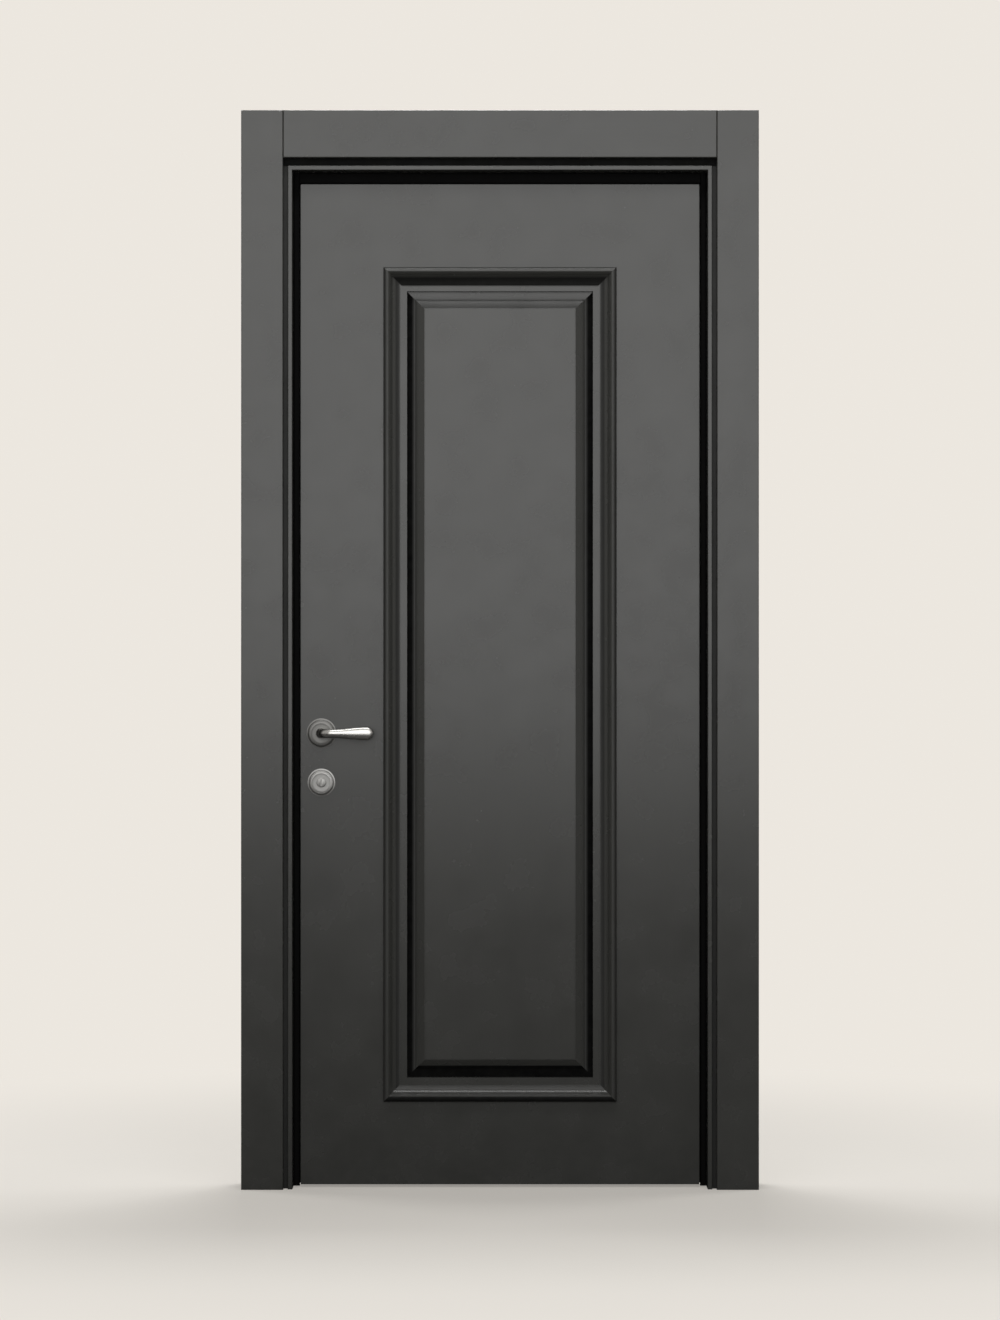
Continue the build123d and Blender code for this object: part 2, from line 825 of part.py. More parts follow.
with BuildPart() as hinge_stile:
    add(stile(1))
    for height in hinge_heights:
        with Locations((lip_half, leaf_back, height)):
            Box(
                2 * (hinge_plate_thickness + recess_clearance),
                2 * (leaf_back - hinge_plate_front + recess_clearance),
                hinge_length + 2 * recess_clearance,
                mode=Mode.SUBTRACT,
            )
        add(drill(hinge_screw_planes(height, lip_half, -1), pilot_radius, pilot_depth), mode=Mode.SUBTRACT)
hinge_stile.part.label = "hinge_stile"
export_step(hinge_stile.part, "parts/hinge_stile.step")

forend_screw_planes = [
    Plane(
        origin=(-lip_half, lock_y, forend_centre + side * (lock_plate_length / 2 - forend_screw_inset)),
        x_dir=(0, 1, 0),
        z_dir=(1, 0, 0),
    )
    for side in (-1, 1)
]

with BuildPart() as lock_stile:
    add(stile(-1))
    with Locations((-lip_half, lock_y, forend_centre)):
        Box(
            2 * (forend_thickness + recess_clearance),
            forend_width + 2 * recess_clearance,
            lock_plate_length + 2 * recess_clearance,
            mode=Mode.SUBTRACT,
        )
    with Locations((-lip_half, lock_y, (case_top + case_bottom) / 2)):
        Box(
            2 * (forend_thickness + case_depth + case_play),
            case_width + 2 * case_play,
            case_top - case_bottom + 2 * case_play,
            mode=Mode.SUBTRACT,
        )
    bore_places = [(lever_x, lever_height), (lever_x, turn_height)]
    add(cross_bore(bore_places, spindle_bore_radius, leaf_front, leaf_back), mode=Mode.SUBTRACT)
    bolt_bore = fixing_bolt_radius + 2 * fixing_bolt_clearance
    add(cross_stud(bolt_holes, bolt_bore, leaf_front, leaf_back), mode=Mode.SUBTRACT)
    add(drill(forend_screw_planes, pilot_radius, pilot_depth), mode=Mode.SUBTRACT)
lock_stile.part.label = "lock_stile"
export_step(lock_stile.part, "parts/lock_stile.step")

with BuildPart() as bottom_rail:
    add(rail(floor_gap, bottom_rail_top, bottom_rail_top, bottom_rail_top, bottom_tenon))
bottom_rail.part.label = "bottom_rail"
export_step(bottom_rail.part, "parts/bottom_rail.step")

with BuildPart() as top_rail:
    add(rail(top_rail_bottom, leaf_top, lip_top, top_rail_bottom, top_tenon))
top_rail.part.label = "top_rail"
export_step(top_rail.part, "parts/top_rail.step")

# Raised and fielded panel, alike on both faces
panel_centre = (moulding_bottom + moulding_top) / 2
panel_grip = moulding_overlap - panel_groove_depth + panel_edge_clearance


def panel_rectangle(inset, distance, face):
    """A rectangle set in from the moulding's outer edge, on a plane this far from the middle."""
    with BuildSketch(Plane.XZ.offset(-face * distance)) as outline:
        with Locations((0, panel_centre)):
            Rectangle(2 * (moulding_half - inset), moulding_top - moulding_bottom - 2 * inset)
    return outline.sketch


with BuildPart() as panel:
    with Locations((0, 0, panel_centre)):
        Box(
            2 * (moulding_half - panel_grip),
            panel_tongue_thickness,
            moulding_top - moulding_bottom - 2 * panel_grip,
        )
    tongue_face = panel_tongue_thickness / 2
    bevel_inset = moulding_width + panel_channel_width
    field_inset = bevel_inset + panel_bevel_width + field_step_width
    bevel_top = tongue_face + panel_bevel_rise
    for face in (-1, 1):
        loft(
            [
                panel_rectangle(bevel_inset, tongue_face, face).face(),
                panel_rectangle(bevel_inset + panel_bevel_width, bevel_top, face).face(),
            ],
            ruled=True,
        )
        extrude(
            panel_rectangle(field_inset, bevel_top, face).face(),
            amount=field_step_rise,
            dir=(0, face, 0),
        )
panel.part.label = "panel"
export_step(panel.part, "parts/panel.step")

# Bolection moulding: four mitred lengths on each face
moulding_corners = {
    "left": ((-moulding_half, 0, moulding_bottom), (-moulding_half, 0, moulding_top), (1, 0, 0)),
    "right": ((moulding_half, 0, moulding_bottom), (moulding_half, 0, moulding_top), (-1, 0, 0)),
    "bottom": ((-moulding_half, 0, moulding_bottom), (moulding_half, 0, moulding_bottom), (0, 0, 1)),
    "top": ((-moulding_half, 0, moulding_top), (moulding_half, 0, moulding_top), (0, 0, -1)),
}
for face_name, face in (("front", -1), ("back", 1)):
    for edge_name, (start, end, inward) in moulding_corners.items():
        with BuildPart() as moulding:
            add(moulding_length(start, end, inward, face))
        moulding.part.label = f"{face_name}_moulding_{edge_name}"
        export_step(moulding.part, f"parts/{face_name}_moulding_{edge_name}.step")

# Lock case: a tray open to the forend and to the cover
case_mid_z = (case_top + case_bottom) / 2
case_tall = case_top - case_bottom
case_low_y = lock_y - case_width / 2
cover_low_y = lock_y + case_width / 2 - case_wall
latch_guide_x = case_front_x + latch_guide_inset
guide_stud_x = case_front_x + guide_stud_inset
post_places = [
    (case_back_x - 2 * post_radius, case_top - 2 * post_radius),
    (case_back_x - 2 * post_radius, case_bottom + 2 * post_radius),
    (case_front_x + 2 * post_radius, (latch_centre + deadbolt_centre) / 2),
]
case_bolt_bore = fixing_bolt_radius + fixing_bolt_clearance

with BuildPart() as lock_case:
    with Locations((case_front_x, case_low_y, case_mid_z)):
        Box(case_depth, case_width - case_wall, case_tall, align=(Align.MIN, Align.MIN, Align.CENTER))
    with Locations((case_front_x, case_low_y + case_wall, case_mid_z)):
        Box(
            case_depth - case_wall,
            case_inside,
            case_tall - 2 * case_wall,
            align=(Align.MIN, Align.MIN, Align.CENTER),
            mode=Mode.SUBTRACT,
        )
    with Locations((latch_guide_x, lock_y, latch_centre)):
        Box(case_wall, case_inside, latch_height)
        Box(
            2 * case_wall,
            latch_bar_thickness + 2 * bolt_play,
            latch_bar_height + 2 * bolt_play,
            mode=Mode.SUBTRACT,
        )
    add(cross_stud([(guide_stud_x, deadbolt_centre)], guide_stud_radius, case_low_y, cover_low_y))
    add(cross_stud(post_places, post_radius, case_low_y, cover_low_y))
    add(cross_stud(post_places, rivet_radius, cover_low_y, cover_low_y + case_wall))
    for height, radius in ((lever_height, follower_boss_radius), (turn_height, turn_boss_radius)):
        bearing = cross_bore([(lever_x, height)], radius + boss_clearance, case_low_y, case_low_y + case_wall)
        add(bearing, mode=Mode.SUBTRACT)
    add(cross_stud(bolt_holes, case_bolt_bore, case_low_y, case_low_y + case_wall), mode=Mode.SUBTRACT)
lock_case.part.label = "lock_case"
export_step(lock_case.part, "parts/lock_case.step")

with BuildPart() as lock_cover:
    with Locations((case_front_x, cover_low_y, case_mid_z)):
        Box(case_depth, case_wall, case_tall, align=(Align.MIN, Align.MIN, Align.CENTER))
    cover_high_y = cover_low_y + case_wall
    for height, radius in ((lever_height, follower_boss_radius), (turn_height, turn_boss_radius)):
        bearing = cross_bore([(lever_x, height)], radius + boss_clearance, cover_low_y, cover_high_y)
        add(bearing, mode=Mode.SUBTRACT)
    for places, radius in ((bolt_holes, case_bolt_bore), (post_places, rivet_radius + rivet_clearance)):
        add(cross_stud(places, radius, cover_low_y, cover_high_y), mode=Mode.SUBTRACT)
lock_cover.part.label = "lock_cover"
export_step(lock_cover.part, "parts/lock_cover.step")

with BuildPart() as forend:
    with Locations((-lip_half + forend_thickness / 2, lock_y, forend_centre)):
        Box(forend_thickness, forend_width, lock_plate_length)
    for centre, tall in ((latch_centre, latch_height), (deadbolt_centre, deadbolt_height)):
        with Locations((-lip_half, lock_y, centre)):
            Box(
                3 * forend_thickness,
                bolt_thickness + 2 * window_play,
                tall + 2 * window_play,
                mode=Mode.SUBTRACT,
            )
    add(screw_seats(forend_screw_planes), mode=Mode.SUBTRACT)
forend.part.label = "forend"
export_step(forend.part, "parts/forend.step")

with BuildPart() as forend_screws:
    add(screws(forend_screw_planes, screw_radius, screw_head_radius, screw_length))
forend_screws.part.label = "forend_screws"
export_step(forend_screws.part, "parts/forend_screws.step")

# Latch bolt: sloping head, bar, and the lug that the follower's arm pushes
with BuildPart() as latch_bolt:
    tip_x = -lip_half - latch_throw
    heel_x = tip_x + latch_length
    bolt_low_y = lock_y - bolt_thickness / 2
    bolt_high_y = lock_y + bolt_thickness / 2
    lug_x = lever_x + arm_tip_radius + follower_arm_clearance
    with BuildSketch(Plane.XY.offset(latch_centre - latch_height / 2)):
        with BuildLine():
            Polyline(
                (heel_x, bolt_low_y),
                (-lip_half - bolt_play, bolt_low_y),
                (tip_x, bolt_high_y - latch_tip_flat),
                (tip_x, bolt_high_y),
                (heel_x, bolt_high_y),
                close=True,
            )
        make_face()
    extrude(amount=latch_height)
    with Locations((heel_x, lock_y, latch_centre)):
        Box(
            lug_x + latch_lug_width - heel_x,
            latch_bar_thickness,
            latch_bar_height,
            align=(Align.MIN, Align.CENTER, Align.CENTER),
        )
    with Locations((lug_x, lock_y, latch_bar_bottom)):
        Box(
            latch_lug_width,
            latch_bar_thickness,
            latch_lug_drop,
            align=(Align.MIN, Align.CENTER, Align.MAX),
        )
latch_bolt.part.label = "latch_bolt"
export_step(latch_bolt.part, "parts/latch_bolt.step")

# Folded strip spring over the latch's bar, between the head and the guide in the case
with BuildPart() as latch_spring:
    spring_start = heel_x + spring_seat_gap
    spring_end = latch_guide_x - case_wall / 2 - spring_seat_gap
    spring_low = latch_centre + latch_bar_height / 2 + spring_seat_gap
    fold_pitch = (spring_end - spring_start) / spring_folds
    fold_low = spring_low + spring_strip_thickness
    fold_rise = spring_height - 2 * spring_strip_thickness
    fold_points = [
        (spring_start + fold * fold_pitch, fold_low + fold_rise * (fold % 2))
        for fold in range(spring_folds + 1)
    ]
    strip_half = spring_strip_thickness / 2 * hypot(fold_pitch, fold_rise) / fold_pitch
    with BuildSketch(Plane.XZ.offset(-lock_y)):
        with BuildLine():
            Polyline(
                [(x, z - strip_half) for x, z in fold_points]
                + [(x, z + strip_half) for x, z in reversed(fold_points)],
                close=True,
            )
        make_face()
    extrude(amount=spring_strip_width / 2, both=True)
latch_spring.part.label = "latch_spring"
export_step(latch_spring.part, "parts/latch_spring.step")


def follower(height, boss_radius, square, reach, tip_radius, arm_width, lean):
    """A lock follower: a round boss with a square hole, and an arm leaning this far from upright."""
    with BuildPart() as hub:
        with BuildSketch(Plane.XZ.offset(-lock_y)):
            with Locations((lever_x, height)):
                RegularPolygon(boss_radius, round_flats)
        extrude(amount=case_width / 2, both=True)
        with BuildSketch(Plane.XZ.offset(-lock_y)):
            with Locations(Location((lever_x, height), -lean)):
                with Locations((0, reach / 2)):
                    Rectangle(arm_width, reach)
                with Locations((0, reach)):
                    RegularPolygon(tip_radius, screw_flats)
        extrude(amount=follower_thickness / 2, both=True)
        with Locations((lever_x, lock_y, height)):
            Box(
                square + 2 * spindle_clearance,
                2 * case_width,
                square + 2 * spindle_clearance,
                mode=Mode.SUBTRACT,
            )
    return hub.part


with BuildPart() as lever_follower:
    add(
        follower(
            lever_height,
            follower_boss_radius,
            spindle_width,
            arm_reach,
            arm_tip_radius,
            follower_arm_width,
            0,
        )
    )
lever_follower.part.label = "lever_follower"
export_step(lever_follower.part, "parts/lever_follower.step")

with BuildPart() as turn_follower:
    add(
        follower(
            turn_height,
            turn_boss_radius,
            turn_spindle_width,
            turn_arm_reach,
            turn_tip_radius,
            turn_arm_width,
            turn_travel / 2,
        )
    )
turn_follower.part.label = "turn_follower"
export_step(turn_follower.part, "parts/turn_follower.step")

# Deadbolt: head, slotted tail, and the fork that the turn's arm drives
with BuildPart() as deadbolt:
    bolt_face_x = -lip_half + bolt_play
    bolt_heel_x = bolt_face_x + deadbolt_length
    fork_x = lever_x + deadbolt_throw / 2
    fork_half = turn_tip_radius + fork_clearance
    tail_end_x = fork_x + fork_half + fork_leg_width
    fork_top = turn_height + turn_arm_reach + turn_tip_radius + fork_clearance
    head_top = deadbolt_centre + deadbolt_height / 2
    with Locations((bolt_face_x, lock_y, deadbolt_centre)):
        Box(
            deadbolt_length,
            bolt_thickness,
            deadbolt_height,
            align=(Align.MIN, Align.CENTER, Align.CENTER),
        )
    with BuildSketch(Plane.XZ.offset(-lock_y)):
        with BuildLine():
            Polyline(
                (bolt_heel_x, head_top),
                (tail_end_x, head_top),
                (tail_end_x, turn_height + fork_leg_above_turn),
                (fork_x + fork_half, turn_height + fork_leg_above_turn),
                (fork_x + fork_half, fork_top),
                (fork_x - fork_half, fork_top),
                (fork_x - fork_half, turn_height + fork_leg_above_turn),
                (fork_x - fork_half - fork_leg_width, turn_height + fork_leg_above_turn),
                (fork_x - fork_half - fork_leg_width, deadbolt_centre - deadbolt_height / 2),
                (bolt_heel_x, deadbolt_centre - deadbolt_height / 2),
                close=True,
            )
        make_face()
        with Locations((guide_stud_x + deadbolt_throw / 2, deadbolt_centre)):
            slot_height = 2 * (guide_stud_radius + guide_stud_play)
            Rectangle(deadbolt_throw + slot_height, slot_height, mode=Mode.SUBTRACT)
    extrude(amount=deadbolt_tail_thickness / 2, both=True)
deadbolt.part.label = "deadbolt"
export_step(deadbolt.part, "parts/deadbolt.step")


# Door furniture


def furniture_disc(height, radius, bore, face):
    """A round rose or escutcheon on the leaf's front (-1) or back (1) face."""
    with BuildPart() as disc:
        with BuildSketch(Plane.XZ.offset(-face * leaf_thickness / 2)):
            with Locations((lever_x, height)):
                RegularPolygon(radius, disc_flats)
                round_hole(bore)
        extrude(amount=-face * rose_thickness)
        outer_face = disc.faces().filter_by(Axis.Y).sort_by(Axis.Y)[0 if face < 0 else -1]
        chamfer(outer_face.outer_wire().edges(), rose_edge_chamfer)
        add(fixing_bolts(height, fixing_bolt_clearance), mode=Mode.SUBTRACT)
    return disc.part


def fixing_bolts(height, clearance=0):
    """The two bolts that clamp a pair of roses or escutcheons through the leaf, or their holes."""
    planes = [
        Plane(
            origin=(lever_x + side * fixing_bolt_offset, leaf_back + rose_thickness, height),
            x_dir=(1, 0, 0),
            z_dir=(0, -1, 0),
        )
        for side in (-1, 1)
    ]
    length = leaf_thickness + rose_thickness + fixing_bolt_depth_in_rose
    return screws(
        planes,
        fixing_bolt_radius + clearance,
        fixing_bolt_head_radius + clearance,
        length + clearance,
    )


for face_name, face in (("front", -1), ("back", 1)):
    with BuildPart() as rose:
        add(furniture_disc(lever_height, rose_radius, neck_radius + neck_clearance, face))
    rose.part.label = f"{face_name}_rose"
    export_step(rose.part, f"parts/{face_name}_rose.step")

    with BuildPart() as escutcheon:
        add(furniture_disc(turn_height, escutcheon_radius, release_radius + neck_clearance, face))
    escutcheon.part.label = f"{face_name}_escutcheon"
    export_step(escutcheon.part, f"parts/{face_name}_escutcheon.step")

with BuildPart() as rose_bolts:
    add(fixing_bolts(lever_height))
rose_bolts.part.label = "rose_bolts"
export_step(rose_bolts.part, "parts/rose_bolts.step")

with BuildPart() as escutcheon_bolts:
    add(fixing_bolts(turn_height))
escutcheon_bolts.part.label = "escutcheon_bolts"
export_step(escutcheon_bolts.part, "parts/escutcheon_bolts.step")

# Lever: round neck, quarter bend and a grip that widens to a rounded end
neck_start = leaf_front - neck_end_gap
bend_start = neck_start - neck_length
grip_y = bend_start - bend_radius
grip_start_x = lever_x + bend_radius
grip_end_x = lever_x + lever_reach - grip_end_height / 2
spindle_half = -bend_start - spindle_clearance


def lever_grip():
    """The level part of the front lever, flaring smoothly from the bend to a rounded end."""
    flare = grip_end_height - grip_start_height
    steps = [step / grip_flare_flats for step in range(grip_flare_flats + 1)]
    upper_side = [
        (
            grip_start_x + share * (grip_end_x - grip_start_x),
            (grip_start_height + flare * (1 - cos(share * pi)) / 2) / 2,
        )
        for share in steps
    ]
    turns = [pi / 2 - pi * step / grip_end_flats for step in range(1, grip_end_flats)]
    tip = [
        (grip_end_x + grip_end_height / 2 * cos(turn), grip_end_height / 2 * sin(turn))
        for turn in turns
    ]
    lower_side = [(x, -z) for x, z in reversed(upper_side)]
    with BuildPart() as grip:
        with BuildSketch(Plane.XZ.offset(-grip_y)):
            with BuildLine():
                Polyline([(x, lever_height + z) for x, z in upper_side + tip + lower_side], close=True)
            make_face()
        extrude(amount=grip_thickness / 2, both=True)
        face_edges = grip.faces().filter_by(Axis.Y).edges()
        inner_end_edges = 2
        chamfer(face_edges.sort_by(Axis.X)[inner_end_edges:], grip_edge_chamfer)
    return grip.part


with BuildPart() as front_lever:
    with BuildSketch(Plane.XZ.offset(-neck_start)):
        with Locations((lever_x, lever_height)):
            RegularPolygon(neck_radius, round_flats)
    extrude(amount=neck_length)
    with BuildSketch(Plane.XZ.offset(-bend_start)) as section:
        with Locations((lever_x, lever_height)):
            Rectangle(grip_thickness, grip_start_height)
        chamfer(section.vertices(), grip_edge_chamfer)
    revolve(
        axis=Axis((grip_start_x, bend_start, lever_height), (0, 0, 1)),
        revolution_arc=90,
    )
    add(lever_grip())
    with Locations((lever_x, bend_start, lever_height)):
        Box(
            spindle_width + 2 * spindle_clearance,
            neck_length + neck_end_gap,
            spindle_width + 2 * spindle_clearance,
            align=(Align.CENTER, Align.MIN, Align.CENTER),
            mode=Mode.SUBTRACT,
        )
front_lever.part.label = "front_lever"
export_step(front_lever.part, "parts/front_lever.step")

with BuildPart() as back_lever:
    mirror(front_lever.part, about=Plane.XZ)
back_lever.part.label = "back_lever"
export_step(back_lever.part, "parts/back_lever.step")

with BuildPart() as spindle:
    with Locations((lever_x, 0, lever_height)):
        Box(spindle_width, 2 * spindle_half, spindle_width)
spindle.part.label = "spindle"
export_step(spindle.part, "parts/spindle.step")

# Emergency release in the front escutcheon, thumb turn on the back, and their bar
release_front = leaf_front - rose_thickness - release_projection
turn_socket = turn_spindle_width + 2 * spindle_clearance

with BuildPart() as release_turn:
    with BuildSketch(Plane.XZ.offset(-neck_start)):
        with Locations((lever_x, turn_height)):
            RegularPolygon(release_radius, round_flats)
            Rectangle(turn_socket, turn_socket, mode=Mode.SUBTRACT)
    extrude(amount=neck_start - release_front - coin_slot_depth)
    with BuildSketch(Plane.XZ.offset(-release_front)):
        with Locations((lever_x, turn_height)):
            RegularPolygon(release_radius, round_flats)
    extrude(amount=-coin_slot_depth)
    with Locations((lever_x, release_front, turn_height)):
        Box(coin_slot_width, coin_slot_depth, coin_slot_length, mode=Mode.SUBTRACT)
release_turn.part.label = "release_turn"
export_step(release_turn.part, "parts/release_turn.step")

thumb_face = leaf_back + rose_thickness + thumb_collar_projection

with BuildPart() as thumb_turn:
    with BuildSketch(Plane.XZ.offset(-(leaf_back + neck_end_gap))):
        with Locations((lever_x, turn_height)):
            RegularPolygon(release_radius, round_flats)
    extrude(amount=-(thumb_face - leaf_back - neck_end_gap))
    with BuildSketch(Plane.XZ.offset(-thumb_face)) as knob:
        with Locations((lever_x, turn_height)):
            Rectangle(thumb_knob_width, thumb_knob_length)
        chamfer(knob.vertices(), thumb_knob_corner)
    extrude(amount=-thumb_knob_projection)
    chamfer(thumb_turn.faces().sort_by(Axis.Y)[-1].edges(), thumb_knob_chamfer)
    with Locations((lever_x, leaf_back + neck_end_gap, turn_height)):
        Box(
            turn_socket,
            rose_thickness,
            turn_socket,
            align=(Align.CENTER, Align.MIN, Align.CENTER),
            mode=Mode.SUBTRACT,
        )
thumb_turn.part.label = "thumb_turn"
export_step(thumb_turn.part, "parts/thumb_turn.step")

with BuildPart() as turn_spindle:
    bar_front = release_front + coin_slot_depth + spindle_clearance
    bar_back = leaf_back + neck_end_gap + rose_thickness - spindle_clearance
    with Locations((lever_x, (bar_front + bar_back) / 2, turn_height)):
        Box(turn_spindle_width, bar_back - bar_front, turn_spindle_width)
turn_spindle.part.label = "turn_spindle"
export_step(turn_spindle.part, "parts/turn_spindle.step")
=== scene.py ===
# %% [markdown]
# # A panelled door in its frame
#
# The joinery, the lock and the hinges arrive as finished solids with real sizes. What is left for
# Blender is the skin of the thing: lacquer over wood, rubber, nickel and steel, and the small turned
# and cut metal that a hand would touch or a screwdriver would turn.

import math

import bmesh
import bpy
from mathutils import Matrix, Vector


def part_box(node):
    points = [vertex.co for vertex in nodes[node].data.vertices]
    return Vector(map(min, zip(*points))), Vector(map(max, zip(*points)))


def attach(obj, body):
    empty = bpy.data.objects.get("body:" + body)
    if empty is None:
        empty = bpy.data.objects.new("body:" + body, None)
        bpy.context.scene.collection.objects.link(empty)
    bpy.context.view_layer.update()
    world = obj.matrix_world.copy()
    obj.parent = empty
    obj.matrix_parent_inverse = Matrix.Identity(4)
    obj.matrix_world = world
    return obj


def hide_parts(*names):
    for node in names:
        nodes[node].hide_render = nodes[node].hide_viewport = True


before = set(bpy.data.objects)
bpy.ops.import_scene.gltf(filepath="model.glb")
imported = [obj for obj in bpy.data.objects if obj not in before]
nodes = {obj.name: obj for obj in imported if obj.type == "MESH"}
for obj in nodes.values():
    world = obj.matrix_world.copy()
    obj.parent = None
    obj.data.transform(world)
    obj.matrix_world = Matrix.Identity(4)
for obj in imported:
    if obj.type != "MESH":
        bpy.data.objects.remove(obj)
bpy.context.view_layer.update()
print("nodes loaded:", len(nodes))

# %% [markdown]
# ## A few bench tools
#
# A material here is a chain of nodes on Object coordinates. Every part keeps its origin at the foot of
# the door, so one metre in the pattern is one metre on the door, and grain runs on from board to
# board. The short helpers below save writing the same three lines for each node.


# %% Start a material and add nodes to it
def start_material(name):
    """A new material whose shader is ready to be wired."""
    material = bpy.data.materials.new(name)
    material.use_nodes = True
    tree = material.node_tree
    return material, tree, tree.nodes["Principled BSDF"]


def add_node(tree, kind, **inputs):
    """A node with some of its sockets set, by name with spaces written as underscores."""
    node = tree.nodes.new(kind)
    for name, value in inputs.items():
        node.inputs[name.replace("_", " ")].default_value = value
    return node


def door_coordinates(tree, centre=(0, 0, 0), stretch=(1, 1, 1)):
    """Object coordinates, moved to a centre and stretched along the axes."""
    coordinates = tree.nodes.new("ShaderNodeTexCoord")
    shifted = tree.nodes.new("ShaderNodeVectorMath")
    shifted.operation = "SUBTRACT"
    shifted.inputs[1].default_value = centre
    mapping = add_node(tree, "ShaderNodeMapping", Scale=stretch)
    tree.links.new(coordinates.outputs["Object"], shifted.inputs[0])
    tree.links.new(shifted.outputs["Vector"], mapping.inputs["Vector"])
    return mapping.outputs["Vector"]


def spread(tree, value, low, high, to_low, to_high):
    """Maps one range of a pattern's value to another."""
    ranger = add_node(tree, "ShaderNodeMapRange")
    ranger.inputs["From Min"].default_value = low
    ranger.inputs["From Max"].default_value = high
    ranger.inputs["To Min"].default_value = to_low
    ranger.inputs["To Max"].default_value = to_high
    tree.links.new(value, ranger.inputs["Value"])
    return ranger.outputs["Result"]


def noise(tree, vector, scale, detail=3.0, roughness=0.5):
    """A noise pattern at a scale in repeats per metre."""
    pattern = add_node(tree, "ShaderNodeTexNoise", Scale=scale, Detail=detail, Roughness=roughness)
    tree.links.new(vector, pattern.inputs["Vector"])
    return pattern.outputs["Fac"]


def tint(tree, value, dark, light):
    """A colour that runs from dark to light with a value from 0 to 1."""
    ramp = tree.nodes.new("ShaderNodeValToRGB")
    ramp.color_ramp.elements[0].color = (*dark, 1)
    ramp.color_ramp.elements[1].color = (*light, 1)
    tree.links.new(value, ramp.inputs["Fac"])
    return ramp.outputs["Color"]


def bump(tree, height, distance, under=None):
    """A bump of this many metres, laid over another one if there is one."""
    node = add_node(tree, "ShaderNodeBump", Strength=1.0, Distance=distance)
    tree.links.new(height, node.inputs["Height"])
    if under is not None:
        tree.links.new(under, node.inputs["Normal"])
    return node.outputs["Normal"]


# %% [markdown]
# Patterns are then joined: values are multiplied or compared, and colours laid over each other. A
# noise pattern mostly stays between 0.3 and 0.7, so that is the range a finish spreads over its own.


# %% Join patterns and colours
NOISE_LOW, NOISE_HIGH = 0.3, 0.7


def vary(tree, pattern, low, high):
    """A value that follows a noise pattern between two bounds."""
    return spread(tree, pattern, NOISE_LOW, NOISE_HIGH, low, high)


def inverse(tree, value):
    """One minus a value."""
    return spread(tree, value, 0.0, 1.0, 1.0, 0.0)


def combine(tree, operation, first, second):
    """A Math node's result for two values."""
    node = tree.nodes.new("ShaderNodeMath")
    node.operation = operation
    tree.links.new(first, node.inputs[0])
    tree.links.new(second, node.inputs[1])
    return node.outputs["Value"]


def product(tree, first, second):
    """Two values multiplied."""
    return combine(tree, "MULTIPLY", first, second)


def axes(tree, vector):
    """The X, Y and Z of a vector."""
    parts = tree.nodes.new("ShaderNodeSeparateXYZ")
    tree.links.new(vector, parts.inputs["Vector"])
    return parts.outputs


def laid_over(tree, amount, under, over):
    """One colour laid over another by an amount from 0 to 1."""
    mix = tree.nodes.new("ShaderNodeMix")
    mix.data_type = "RGBA"
    mix.inputs["B"].default_value = (*over, 1)
    tree.links.new(amount, mix.inputs["Factor"])
    tree.links.new(under, mix.inputs["A"])
    return mix.outputs["Result"]


# %% [markdown]
# ## Lacquer over wood
#
# The door is painted joinery: several coats of a warm dark grey lacquer, rubbed down to satin. Up
# close it is never flat. The grain of the board still shows as long faint ridges, the sprayed coat
# has a fine orange peel, the sheen changes a little from hand to hand, and the foot of the door
# carries dust. Grain follows the length of each board, so upright boards and level boards get
# a finish of their own, turned to suit.

# %% Make the lacquers
LACQUER_DARK = (0.036, 0.0365, 0.0337)
LACQUER_LIGHT = (0.044, 0.0446, 0.0415)
DUST = (0.10, 0.097, 0.09)
DUST_HEIGHT = 0.16
ALONG_X, ALONG_Y, ALONG_Z = 0, 1, 2


def stretched(along, with_it, across):
    """A stretch of the pattern's axes, with one value along one axis and another across it."""
    stretch = [across, across, across]
    stretch[along] = with_it
    return stretch


def lacquer(name, along):
    """Satin dark grey lacquer with its grain along one axis."""
    material, tree, shader = start_material(name)
    plain = door_coordinates(tree)
    board = door_coordinates(tree, stretch=stretched(along, 0.9, 26.0))
    grain = noise(tree, board, 9.0, detail=6.0, roughness=0.62)
    cloud = noise(tree, plain, 3.2, detail=2.0)
    peel = noise(tree, plain, 620.0, detail=1.0)
    handling = noise(tree, plain, 14.0, detail=4.0)

    shade = tree.nodes.new("ShaderNodeMath")
    shade.operation = "MULTIPLY_ADD"
    grain_share = 0.35
    shade.inputs[1].default_value = grain_share
    tree.links.new(grain, shade.inputs[0])
    tree.links.new(vary(tree, cloud, 0.0, 1.0 - grain_share), shade.inputs[2])
    colour = tint(tree, shade.outputs["Value"], LACQUER_DARK, LACQUER_LIGHT)

    low_down = spread(tree, axes(tree, plain)["Z"], 0.0, DUST_HEIGHT, 1.0, 0.0)
    patches = spread(tree, noise(tree, plain, 38.0, detail=5.0), 0.45, 0.75, 0.0, 0.12)
    colour = laid_over(tree, product(tree, low_down, patches), colour, DUST)
    tree.links.new(colour, shader.inputs["Base Color"])

    tree.links.new(vary(tree, handling, 0.23, 0.29), shader.inputs["Roughness"])
    ridges = bump(tree, grain, 0.00003)
    tree.links.new(bump(tree, peel, 0.000006, under=ridges), shader.inputs["Normal"])
    shader.inputs["Specular IOR Level"].default_value = 0.5
    print("lacquer", name, "grain along", "XYZ"[along])
    return material


upright_lacquer = lacquer("lacquer_upright_grain", ALONG_Z)
level_lacquer = lacquer("lacquer_level_grain", ALONG_X)
